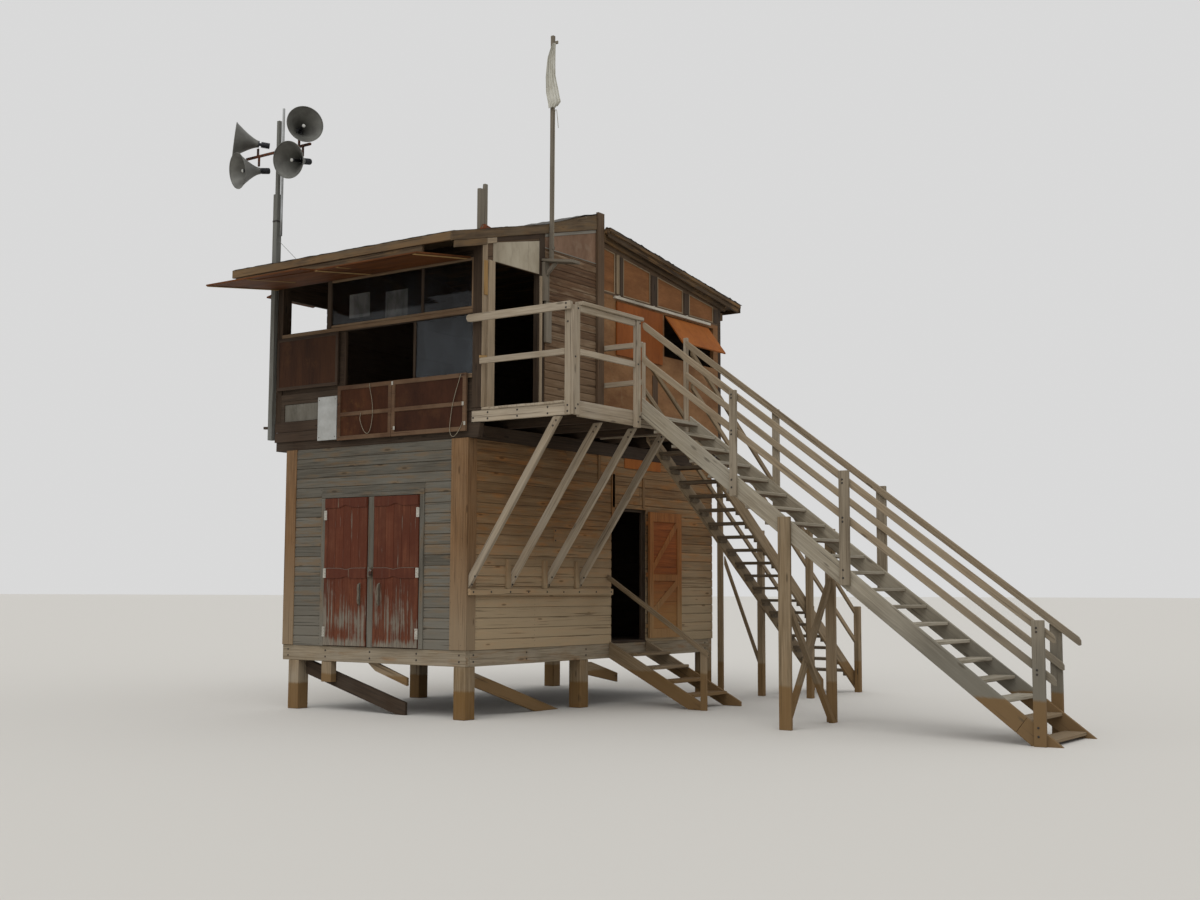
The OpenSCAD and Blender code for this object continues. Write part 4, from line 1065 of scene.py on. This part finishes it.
def hinge(side, edge, body):
    """White butt hinges on a front leaf: plate over its block, three screws, knuckle in five parts."""
    foot, high = HINGES.T
    start = points(edge - (2.0 if side > 0 else 40.5), PLATE_Y, foot - 1)
    boards(body + "_hinge_plates", start, (42.5, 0, 0), vectors(Z, high + 2), (0, 11, 0),
           "white_fitting_paint", "grey_timber", body, ease=1, seed=41)
    parts = (foot[:, None] + high[:, None] * np.arange(KNUCKLES) / KNUCKLES).ravel()
    ring = circle(np.array([KNUCKLE_R, 0.0, 0.0]), np.array([0.0, KNUCKLE_R, 0.0]), 12)
    base = ring + points(edge - 2 * side, KNUCKLE_Y, parts)[:, None]
    rise = vectors(Z, np.repeat(high / KNUCKLES, KNUCKLES) - 1.5)[:, None]
    prisms(body + "_knuckles", base, rise, "white_fitting_paint", body)
    heights = foot[:, None] + high[:, None] * np.array([0.18, 0.5, 0.82])
    screws = points(edge + side * 24.0, PLATE_Y, heights.ravel())
    domes(body + "_hinge_screws", screws, (0, -1, 0), 4.5, "bolt_steel", body, 0.3)


def board_front_leaf(body, low_x):
    """Five wide upright boards and a narrow one on a leaf's face."""
    start = points(low_x + SEAMS[:-1] + 1.5, -30, LEAF_FOOT + 2)
    run, wide = (0, 0, LEAF_HEAD - LEAF_FOOT - 4), vectors(X, np.diff(SEAMS) - 3)
    boards(body + "_boards", start, run, wide, (0, -5, 0), "red_door_paint", "red_paint", body, ease=1.5,
           seed=int(-low_x))


def board_side_leaf():
    """Boards laid across between the side door's rails."""
    lower, upper = np.linspace(1022, 1710, 7), np.linspace(1806, 2563, 8)
    foot = np.concatenate([lower[:-1], upper[:-1]])
    high = np.concatenate([np.diff(lower), np.diff(upper)])
    boards("side_door_panel_boards", points(57, 4062, foot + 1), (0, 639, 0), vectors(Z, high - 2), (5, 0, 0),
           "side_door_boards", "door_boards", "side_leaf", ease=1.5, seed=45)


board_front_leaf("left_leaf", -2421)
board_front_leaf("right_leaf", -1531.5)
hinge(1, -2423, "left_leaf")
hinge(-1, -759, "right_leaf")
board_side_leaf()


# Panels and sheets
sheets("window_cards", "bare_white_board", "sign_white", (-2120, 38, 5150, -1745, 40, 5470),
       (-1465, 38, 5060, -1075, 40, 5436))
for name, x0, x1 in (("left", -2150, -1300), ("right", -1180, -47)):
    sheets("shutter_sheet_" + name, name + "_shutter_sheet", "plywood", (x0, -49, 3577, x1, -46, 3833),
           (x0, -49, 3887, x1, -46, 4183))
sheets("brown_panel_sheet", "brown_panel", "dark_timber", (-3408, -30, 4270, -2253, -26, 4976))
sheets("inset_panel", "white_panel", "dark_timber", (-3279, 10, 3838, -2642, 18, 4068))
sheets("hut_top_strip", "orange_flap_sheet", "wall_boards", (13, 3394, 3300, 19, 4335, 3438))


# Horns
# each horn's mouth, which way it points and how far it tilts up, in degrees
HORNS = [(-2775, -217, 7856, -30, 2), (-2922, -368, 7348, -80, -12),
         (-4093, -303, 7847, -130, 6), (-3948, -363, 7367, -106, -10)]
MOUTH_R, BELL_L, NECK_R, SHEET = 248, 325, 48, 4
RIM_R, TIP_R, TIP_L = 5, 25, 12
NECK = [(0, -326), (47, -326), (47, -339), (22, -341), (22, -362)]
STEM = [(0, -326), (22, -326), (22, -90), (24, -88)]
RIB = [(37, 0), (43, 2), (43, 6), (37, 8)]
RIBS, RIB_PITCH = 12, 10


def bell_profile():
    """Radius = neck + (mouth - neck) * (1 - share) ^ 1.35, inside and out, with a rolled rim between."""
    share = np.linspace(0, 1, 25)
    radius = NECK_R + (MOUTH_R - NECK_R) * (1 - share) ** 1.35
    turn = np.radians(np.linspace(200, -70, 10))
    rim = np.stack([MOUTH_R - 1 + RIM_R * np.cos(turn), RIM_R * np.sin(turn)], 1)
    outer = np.stack([radius, -BELL_L * share], 1)[1:]
    inner = np.stack([radius - SHEET, -BELL_L * share * 0.985], 1)[:0:-1]
    return np.concatenate([inner, rim, outer])


def build_horns():
    """Each horn: a bell of thin sheet with a rolled rim, the inner tube with its round tip, and a ribbed
    driver."""
    bell = bell_profile()
    arc = np.radians(np.linspace(-40, 90, 9))
    tip = np.vstack([[(0, -90)], np.stack([TIP_R * np.cos(arc), -76 + TIP_L * np.sin(arc)], 1)])
    ribs = [(r, -364 - RIB_PITCH * k - d) for k in range(RIBS) for r, d in RIB]
    driver = NECK + ribs + [(40, -482), (0, -484)]
    for k, (x, y, z, heading, tilt) in enumerate(HORNS):
        h, t = math.radians(heading), math.radians(tilt)
        line = (x, y, z), (math.cos(t) * math.cos(h), math.cos(t) * math.sin(h), math.sin(t))
        shell = revolved(f"horn_bell_{k}", bell, *line, "horn_paint", "horn_metal")
        revolved(f"horn_stem_{k}", STEM, *line, "driver_paint", "driver_metal", 24)
        revolved(f"horn_tip_{k}", tip, *line, "horn_tip_paint", "horn_metal", 24)
        unit = revolved(f"horn_driver_{k}", driver, *line, "driver_paint", "driver_metal", 32, False)
        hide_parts("speaker_horns")
        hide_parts("speaker_drivers")


build_horns()


# Roof
ROOF_LEFT, ROOF_FRONT, ROOF_REAR = -3721, -603, 6183
FELT_THICK, STRIP_STEP, STRIP_LAP = 3.5, 4, 60


def roof_top(y):
    """Height of the roof slabs' upper face at a depth."""
    y = np.asarray(y, float)
    front, rear = FRONT_RIDGE - (RIDGE_Y - y) * FRONT_FALL, REAR_RIDGE - (y - RIDGE_Y) * REAR_FALL
    return np.where(y < RIDGE_Y, front, rear)


def felt(name, x_low, x_high, depths, lift, seed):
    """Roofing felt in strips across the slope: height = roof + lift + a small step at each lap + bubbles;
    its long free edges are torn by random amounts."""
    shape = (len(depths), 150)
    x, y = np.meshgrid(np.linspace(x_low, x_high, shape[1]), depths)
    bed = roof_top(y)
    rise = lift(x, y)
    y = y + rough(shape, seed, (3, 60)) * np.where((y == depths[0]) | (y == depths[-1]), 7, 0)
    x = x + rough(shape, seed + 1, (50, 3)) * np.where((x == x_low) | (x == x_high), 4, 0)
    bubbles = rough(shape, seed + 2, (16, 44)) * 3 + rough(shape, seed + 3, (50, 70)) * 1.5
    face = np.stack([x, y, np.maximum(bed + rise + bubbles + 5, bed + 1.5)], -1)
    sheet_of(name, face, face - [0, 0, FELT_THICK], "roof_felt")


def build_felt():
    """Felt on both slopes; on the front one it swells towards the ridge, on the rear one it laps over the
    step."""
    def swell(x, y):
        share = np.clip((y - 1250) / 850, 0, 1)
        ragged = rough(x.shape, 61, (24, 60)) * 9 * share
        return 96 * share**1.1 + ragged + STRIP_STEP * ((y + 600) % 1000 < STRIP_LAP)

    def lap(x, y):
        share = np.clip((2572 - y) / 70, 0, 1)
        return 190 * share + rough(x.shape, 62, (30, 50)) * 4 + STRIP_STEP * ((y - 2500) % 950 < STRIP_LAP)

    def torn(x, y):
        return 3 + np.clip(rough(x.shape, 63, (70, 3)), 0, 1.5) * 16

    over_step = np.concatenate([np.arange(2501, 2562, 12), np.linspace(2573, ROOF_REAR, 96)])
    felt("roof_felt_front", ROOF_LEFT, 231, np.linspace(ROOF_FRONT, 2499, 90), swell, 51)
    felt("roof_felt_rear", ROOF_LEFT, 203, over_step, lap, 54)
    felt("roof_felt_verge", 256, 352, np.linspace(2556, ROOF_REAR, 100), torn, 57)


def trim_roof():
    """Boards under the front verge, the wedge at the ridge, and the pale block and torn scrap by the stub
    post."""
    pieces = (("gable_strip", "ash_grey_timber", 207, 1262, 2403, 164, 42, 6),
              ("header_shadow_board", "cabin_lower_boards", 207, 254, 1140, 176, 56, 8),
              ("verge_block", "pale_timber", 208, 66, 250, 192, 70, 20))
    for name, finish, x, y0, y1, drop, high, thick in pieces:
        start = (x, y0, float(roof_top(y0)) - drop)
        boards(name, start, (0, y1 - y0, (y1 - y0) * FRONT_FALL), (0, 0, high), (thick, 0, 0), finish,
               "dark_timber", ease=1.5)
    ends = np.array([[1262, 1960], [1960, 2403]])
    high = np.array([[4, 70], [70, 84]])
    foot, head = points(208, ends, roof_top(ends) + 1), points(208, ends, roof_top(ends) + high)
    wedge = np.concatenate([foot, head[:, ::-1]], 1)
    panels("ridge_wedge", wedge, (16, 0, 0), "roof_edge_timber", 63)
    low = np.array([(-90, 6006), (-44, 6017), (4, 6029), (66, 6044), (126, 6059)], float)
    high = np.array([(-90, 6010), (-44, 6072), (4, 6089), (66, 6078), (126, 6066)], float)
    grid = np.stack([low, high * 0.5 + low * 0.5 + [6, 0], high])
    face = points(232, grid[..., 0], grid[..., 1])
    face[1, :, X] += [3, -4, 6, -3, 2]
    sheet_of("verge_scrap", face, face - [34, 0, 0], "torn_scrap")


build_felt()
trim_roof()


# Cabin details
FIELD_FOOT, BEAD = 5690, 16
FIELDS = np.array([[2566, 2873], [3077, 3766], [3961, 4656], [4835, 5539]], float)  # ends along the wall


def panel_fields():
    """Orange-brown sheets sunk between the studs of the right wall, with thin beads round each."""
    head = 6308 - (FIELDS - FIELDS[0, 0]) * 0.1235
    foot = FIELD_FOOT + 2
    low, high = FIELDS[:, 0] + 2, FIELDS[:, 1] - 2
    corners = [points(193, low, foot), points(193, high, foot), points(193, high, head[:, 1] - 2),
               points(193, low, head[:, 0] - 2)]
    panels("field_sheets", np.stack(corners, 1), (5, 0, 0), "side_field_sheet", 71)
    start, run, across = [], [], []
    for (a, b), (ha, hb) in zip(FIELDS, head):
        inside = foot + BEAD
        start += [(199, a + 2, foot), (199, a + 2, ha - BEAD - 4), (199, a + 2, inside),
                  (199, b - 2 - BEAD, inside)]
        run += [(0, b - a - 4, 0), (0, b - a - 4, hb - ha), (0, 0, ha - inside - BEAD - 2),
                (0, 0, hb - inside - BEAD - 2)]
        across += [(0, 0, BEAD)] * 2 + [(0, BEAD, 0)] * 2
    boards("field_beads", start, run, across, (8, 0, 0), "bead_timber", "dark_timber", ease=1, seed=72)
    boards("field_split_stud", (207, 2896, 5700), (0, 0, 560), (0, 74, 0), (12, 0, 0), "bead_timber",
           "dark_timber", seed=73)
    y, high, wide = np.array([(3790, 430, 150), (4680, 320, 135), (5550, 210, 100), (2990, 545, 70)], float).T
    boards("field_studs", points(207, y, foot), vectors(Z, high), vectors(Y, wide), (10, 0, 0), "dark_timber",
           "dark_timber", seed=74)


def sheet_gable():
    """The pale sheet over the balcony doorway and the reddish one over the bay beside it."""
    y = np.array([(197, 906, 906, 197), (909, 1133, 1133, 909)])
    z = np.array([(5662, 5662, 6050, 5893), (5662, 5662, 6100, 6050)])
    panels("header_sheet", points(207, y, z), (5, 0, 0), "doorway_header_sheet", 75)
    low, high = float(roof_top(1262)) - 168, float(roof_top(2403)) - 168
    gable = [(203, 1264, 6043), (203, 2402, 6043), (203, 2402, high), (203, 1264, low)]
    panels("gable_sheet", [gable], (5, 0, 0), "gable_sheet", 76)
    boards("gable_foot", (204, 1264, 6029), (0, 1138, 0), (0, 0, 13), (10, 0, 0), "ash_grey_timber",
           "dark_timber", seed=77)


AWNING_Z, AWNING_Y = 5684, -8  # the height and depth that the front awnings hang from
LONG_FALL, SHORT_FALL = 160 / 1243, 128 / 992


def batten_awnings():
    """Slats and laps under the two front awnings and the flap, in their own planes."""
    def under(y, fall, gap):
        return AWNING_Z + (y - AWNING_Y) * fall - gap

    slats = ((-2700, -1230, -420, LONG_FALL), (-1700, -1000, -40, SHORT_FALL),
             (-1340, -990, -760, SHORT_FALL), (-60, -985, -30, SHORT_FALL),
             (-3452, -1240, -30, LONG_FALL))
    x, near, far, fall = np.array(slats, float).T
    start, run = points(x, near, under(near, fall, 9)), points(0, far - near, (far - near) * fall)
    boards("awning_slats", start, run, (44, 0, 0), (0, 0, 8), "yellow_batten", "plywood", ease=1, seed=81)
    laps = [[(x, y, under(y, fall, 7)) for x, y in corners] for fall, corners in (
        (LONG_FALL, ((-2690, -1090), (-1720, -1000), (-1720, -60), (-2560, -60))),
        (SHORT_FALL, ((-1320, -985), (-70, -960), (-70, -80), (-1160, -80))))]
    panels("awning_laps", laps, (0, 0, 6), "flap_sheet", 82)


def fit_shutters():
    """White fittings on the hanging panels, the two hinges of the panel above and its edge strips, the
    screws of the white board, and blobs of sealant along the right wall."""
    at = np.array([(-1182, 3624), (-1223, 4205), (-33, 3860), (-3, 3613)], float)
    boards("shutter_fittings", points(at[:, 0] - 16, -63, at[:, 1] - 24), (0, 0, 48), (30, 0, 0), (0, -6, 0),
           "white_fitting_paint", "plywood", ease=2, seed=83)
    corners = [(x, z) for z in (4273, 4950) for x in (-3240, -2384)]
    boards("panel_hinges", [(x - 40, -30.5, z) for x, z in corners], (80, 0, 0), (0, 0, 22), (0, -3, 0),
           "white_fitting_paint", "dark_timber", ease=1, seed=84)
    start = [(-3412, -27, 4266), (-3412, -27, 4936), (-3412, -27, 4312), (-2293, -27, 4312)]
    run = [(1163, 0, 0), (1163, 0, 0), (0, 0, 622), (0, 0, 622)]
    wide = [(0, 0, 44), (0, 0, 44), (44, 0, 0), (44, 0, 0)]
    boards("brown_panel_edge", start, run, wide, (0, -7, 0), "cabin_lower_boards", "dark_timber", ease=1,
           seed=85)
    screws = [(x, -45, z) for z in (4080, 3580) for x in (-2560, -2266)]
    domes("board_screws", screws, (0, -1, 0), 7, "bolt_steel")
    lumps = np.array([(236, 2928, 26), (238, 3300, 12), (236, 3813, 24), (238, 4180, 13), (236, 4722, 25),
                      (237, 5200, 14)])
    domes("sealant_lumps", points(lumps[:, 0], lumps[:, 1], 5661), (0, 0, 1), lumps[:, 2], "white_sealant",
          height=0.5)


SINGLE_BOARDS = (
    # name, finish, slot, ease, seed, then start, run, width and thickness
    ("corner_batten", "yellow_batten", "dark_timber", 2, 86,
     (206, -51, 4409), (0, 136, 16), (0, 0, 30), (16, 0, 0)),
    ("corner_post_board", "pale_timber", "dark_timber", 1.5, 90,
     (206.5, -6, 3802), (0, 0, 2086), (0, 94, 0), (9, 0, 0)),
    ("shutter_foot_stud", "upper_frame_timber", "dark_timber", 1.5, 94,
     (206, 3823, 4074), (0, 0, 588), (0, 138, 0), (9, 0, 0)),
    ("mast_strap", "bolt_steel", "mast_timber", 1, 96,
     (-3545, -63, 6640), (86, 0, 0), (0, 0, 24), (0, 96, 0)),
    ("deck_edge_board", "balcony_timber", "grey_timber", 2, 87,
     (232, 11, 3772), (1270, 0, 0), (0, 0, 26), (0, -10, 0)),
    ("window_sill_rail", "window_timber", "dark_timber", 2, 88,
     (-3350, -1, 4990), (3408, 0, 0), (0, 0, 50), (0, -9, 0)),
    ("lower_sill_rail", "window_timber", "dark_timber", 2, 89,
     (-2176, -1, 4183), (2235, 0, 0), (0, 0, 52), (0, -9, 0)),
    ("door_hasp", "rusted_bar", "grey_timber", 1, 91,
     (-1580, -46, 1838), (0, 0, -34), (44, 0, 0), (0, -4, 0)),
    ("door_padlock", "rusted_bar", "grey_timber", 5, 92,
     (-1583, -52, 1752), (0, 0, 52), (46, 0, 0), (0, -18, 0)),
)


def small_timbers():
    """Single boards and fittings, the boards round the side doorway, and the mast pipe's lowest half
    metre."""
    for name, finish, slot, ease, seed, *vectors_of_board in SINGLE_BOARDS:
        boards(name, *vectors_of_board, finish, slot, ease=ease, seed=seed)
    covers = [(2742, 3090, 56, 346), (3074, 2560, 77, 700), (3852, 2747, 52, 424), (3086, 2728, 60, 470)]
    y, z, wide, high = np.array(covers, float).T
    boards("hut_cover_boards", points(13, y, z), vectors(Z, high), vectors(Y, wide), (14, 0, 0),
           "side_boarding", "wall_boards", seed=93)
    pipe = points(-3420, -15, np.array([6962, 6700, 6440]))
    tube("mast_pipe_foot", pipe, 17, "galvanised_pipe", sides=16)


panel_fields()
sheet_gable()
batten_awnings()
fit_shutters()
small_timbers()


# Fastenings
STAIR_LINE = 3832  # height of the posts' lowest bolts, less one step, at the first tread's nose
FIRST_NOSE = 1800


def bolt_timbers():
    """Bolt heads where posts, stringers, braces and rails meet."""
    front, right, rear = (0, -1, 0), (1, 0, 0), (0, 1, 0)
    bolts = []
    for x, width, back in zip(POSTS_DOWN_STAIR, (90, 120, 130), POSTS_BACK):
        line = STAIR_LINE + (FIRST_NOSE - x - width / 2) * FALL
        middle = x + width / 2 - 14
        for z in (line - 60, line - 150, line + 480, line + 525, line + 915, line + 955):
            bolts += [((middle, 1299, z), front), ((middle - back, 2566, z + back * FALL - 110), rear)]
    for y, x in ((12, 23), (829, 2), (1590, 2), (2300, 2)):
        brace = ((x + 60, y, 1640), (x + 105, y, 1740), (1300, y, 3510), (1345, y, 3570))
        bolts += [(place, front) for place in brace]
    bolts += [((1558, -50, z), front) for z in (3660, 3730, 4720)]
    bolts += [((1560, -92, z), front) for z in (4880, 4930)]
    bolts += [((70, 12, 3680), front)]
    bolts += [((1644, y, z), right) for y, z in ((-10, 3690), (40, 3740), (-10, 4300), (40, 4880))]
    bolts += [((1662, y, z), right) for y, z in ((1280, 3650), (1320, 3720), (1280, 4370), (1320, 4890))]
    bolts += [((68, y, 1550), right) for y in (60, 400, 780, 1150, 1540, 1900, 2250, 2640, 3000)]
    bolts += [((20, y, z), right) for y in (1775, 2870) for z in (2225, 2355)]
    bolts += [((x, 0, z), front) for x in (-3100, -2400, -1600, -800, -100) for z in (700, 780)]
    bolts += [((0, y, z), right) for y in (150, 1200, 2500, 4100, 5600) for z in (700, 780)]
    bolts += [((x, 12, z), front) for x in (300, 760, 1220, 1480) for z in (3660, 3735)]
    places, normals = zip(*bolts)
    domes("timber_bolts", places, normals, 13, "bolt_steel", sides=10)


def nail_boards():
    """Nail heads in the siding beside its trims, in the door frame and corner boards, and in treads and
    deck."""
    rows = HUT_FOOT + HUT_PITCH * np.arange(20)[:, None] + np.array([30.0, 88.0])
    beside_door, over_door = rows[rows < 2900], rows[rows >= 2900]
    front = [(x, -12.2, z) for x in (-2975, -2520, -662, -270) for z in beside_door]
    front += [(x, -12.2, z) for x in (-2975, -1900, -1150, -270) for z in over_door]
    front += [(x, -25, z) for x in (-2462, -720) for z in np.arange(900, 2760, 131)]
    front += [(x, -25, 2803) for x in np.arange(-2440, -720, 170)]
    front += [(x, -22, z) for x in (-232, -60, -3180, -3020) for z in np.arange(900, 3420, 260)]
    side = [(12.2, y, z) for y in (182, 1350, 3052, 3985, 5760) for z in rows.ravel()]
    cabin_rows = CABIN_FOOT + CABIN_PITCH * np.arange(21) + 50.0
    side += [(216.2, y, z) for y in (1285, 2382) for z in cabin_rows]
    treads = [(FIRST_NOSE + STEP_RUN * k - back, y, 3738 - STEP_RISE * k)
              for k in range(20) for back in (60, 180) for y in (1420, 2440)]
    treads = [nail for nail in treads if nail[X] > 1620]
    pitch = (DECK_RIGHT - DECK_LEFT) / DECK_BOARDS
    middles = DECK_LEFT + pitch * np.arange(DECK_BOARDS) + pitch / 2
    deck = [(x, y, 3800) for x in middles for y in (35, 830, 1595, 2325, 2535)]
    domes("front_nails", front, (0, -1, 0), 4.2, "bolt_steel", sides=6)
    domes("side_nails", side, (1, 0, 0), 4.2, "bolt_steel", sides=6)
    domes("tread_nails", treads + deck, (0, 0, 1), 4.5, "bolt_steel", sides=6)


def lock_doors():
    """The padlock's shackle: half an ellipse through its staple."""
    turn = np.linspace(0, np.pi, 13)
    arch = points(-1560 + 15 * np.cos(turn), -61, 1803 + 22 * np.sin(turn))
    tube("door_shackle", arch, 3.5, "galvanised_pipe", sides=8)


def edge_rails():
    """Pale strips along the upper edges of the leaves' middle rails, following their shaped tops: worn bare
    wood, and a painted highlight where the upper edge catches the light.
    """
    share = np.linspace(0, 1, 41)
    for body, low in (("left_leaf", -2369), ("right_leaf", -1525)):
        # painted highlight: a pale strip on each rail's upper edge, over its worn wood
        line = points(low + 714 * share, -44, 1849 - 18 * np.exp(-(((share - 0.5) / 0.1) ** 2)))
        tube(body + "_worn_edge", line, 2.4, "ash_grey_timber", body, 6, False)


bolt_timbers()
nail_boards()
lock_doors()
edge_rails()


# Flag
# the flag's outline: height, left edge and right edge
FLAG_OUTLINE = [(7905, 232, 372), (7960, 226, 430), (8060, 204, 404), (8120, 189, 392), (8200, 185, 371),
                (8340, 181, 338), (8470, 193, 336), (8600, 209, 336), (8700, 256, 337), (8782, 301, 338)]
FLAG_TOP, FLAG_FOOT, FLAG_WIDTH, FLAG_Y = 8780, 7908, 300.0, 1284
FLAG_ROWS, FLAG_COLUMNS, FOLDS = 110, 150, 4.5
DEEPEST_FOLD, HALF_CLOTH = 19, 0.5


def fold_flag():
    """A cloth hanging in folds from its two ties. Its outline is that of part.scad, its width at each
    height drawn in by a fold wave: x = left + (right - left) * u, y = middle + depth * sin(folds * u), with
    the depth found at each height so that the cloth's own width stays the same all the way down."""
    levels, left, right = np.array(FLAG_OUTLINE, float).T
    z = np.linspace(FLAG_TOP, FLAG_FOOT, FLAG_ROWS)
    x0, x1 = np.interp(z, levels, left), np.interp(z, levels, right)
    u = np.linspace(0, 1, FLAG_COLUMNS)
    share = np.linspace(0, 1, FLAG_ROWS)
    phase = 0.5 * np.sin(3.1 * share) + 0.35 * np.sin(7.3 * share + 1)
    wave = np.sin(FOLDS * TAU * u[None] + phase[:, None] * np.sin(TAU * u)[None] * 2)
    drape = 1 + 0.25 * np.sin(5 * u[None] + 4 * share[:, None])
    low, high = np.zeros(FLAG_ROWS), np.full(FLAG_ROWS, 60.0)
    span = (x1 - x0)[:, None] * u[None]
    for _ in range(40):
        mid = (low + high) / 2
        arc = np.hypot(np.diff(span, axis=1), np.diff(mid[:, None] * wave * drape, axis=1)).sum(1)
        low = np.where(arc < FLAG_WIDTH, mid, low)
        high = np.where(arc < FLAG_WIDTH, high, mid)
    depth = np.clip((low + high) / 2, 0, DEEPEST_FOLD)
    y = FLAG_Y + depth[:, None] * wave * drape
    hem = 7 * np.sin(2.5 * TAU * u) * share[:, None] ** 6
    height = z[:, None] + hem + 6
    face = points(x0[:, None] + span, np.clip(y, 1263, 1305), np.clip(height, FLAG_FOOT - 2, FLAG_TOP + 1))
    cloth_at = points(u * FLAG_WIDTH, -z[:, None], 0) / 1000
    normal = np.cross(np.gradient(face, axis=1), np.gradient(face, axis=0))
    normal /= length_of(normal)
    half = normal * HALF_CLOTH
    piece = sheet_of("flag_cloth", face + half, face - half, "flag_cloth", cloth_at, True)
    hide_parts("flag")


fold_flag()


# Stage
FLOOR_HALF = 300
SKY_GREY, SKY_STRENGTH, LAMP_STRENGTH = 0.87, 0.8, 1.1
LAMP_SPREAD, LAMP_TILT = math.radians(50), (math.radians(35), math.radians(12), 0)
EYE = (11606, -13581, 1600)
PITCH, YAW, ROLL = math.radians(5.4314), math.radians(35.2948), math.radians(-0.1907)
FOCAL_PIXELS, PHOTO_WIDTH, SENSOR_WIDTH = 1453.82, 1200.0, 36.0


def build_stage():
    """A plain pale floor, an even sky of soft light and one broad soft lamp."""
    finish = Finish("floor", Roughness=0.9, Base_Color=(0.62, 0.6, 0.56, 1.0))
    mesh = bpy.data.meshes.new("floor")
    corners = [(-1, -1), (1, -1), (1, 1), (-1, 1)]
    mesh.from_pydata([(x * FLOOR_HALF, y * FLOOR_HALF, 0) for x, y in corners], [], [(0, 1, 2, 3)])
    mesh.materials.append(finish.material)
    floor = bpy.data.objects.new("floor", mesh)
    bpy.context.scene.collection.objects.link(floor)
    world = bpy.data.worlds.new("studio")
    bpy.context.scene.world = world
    world.use_nodes = True
    back = world.node_tree.nodes["Background"]
    back.inputs["Color"].default_value = (SKY_GREY, SKY_GREY, SKY_GREY, 1.0)
    back.inputs["Strength"].default_value = SKY_STRENGTH
    lamp_data = bpy.data.lights.new("overcast", "SUN")
    lamp_data.energy = LAMP_STRENGTH
    lamp_data.angle = LAMP_SPREAD
    lamp = bpy.data.objects.new("overcast", lamp_data)
    lamp.rotation_euler = LAMP_TILT
    bpy.context.scene.collection.objects.link(lamp)


def build_camera():
    """The photograph's eye: 1.6 m above the ground, turned, pitched and rolled as measured."""
    data = bpy.data.cameras.new("view")
    data.sensor_width = SENSOR_WIDTH
    data.lens = FOCAL_PIXELS * SENSOR_WIDTH / PHOTO_WIDTH
    data.clip_end = FLOOR_HALF
    camera = bpy.data.objects.new("view", data)
    camera.location = row(EYE).tolist()
    turn = Matrix.Rotation(YAW, 4, "Z") @ Matrix.Rotation(math.pi / 2 + PITCH, 4, "X")
    camera.rotation_euler = (turn @ Matrix.Rotation(-ROLL, 4, "Z")).to_euler()
    bpy.context.scene.collection.objects.link(camera)
    bpy.context.scene.camera = camera


build_stage()
build_camera()
bpy.context.scene.view_settings.view_transform = "Standard"
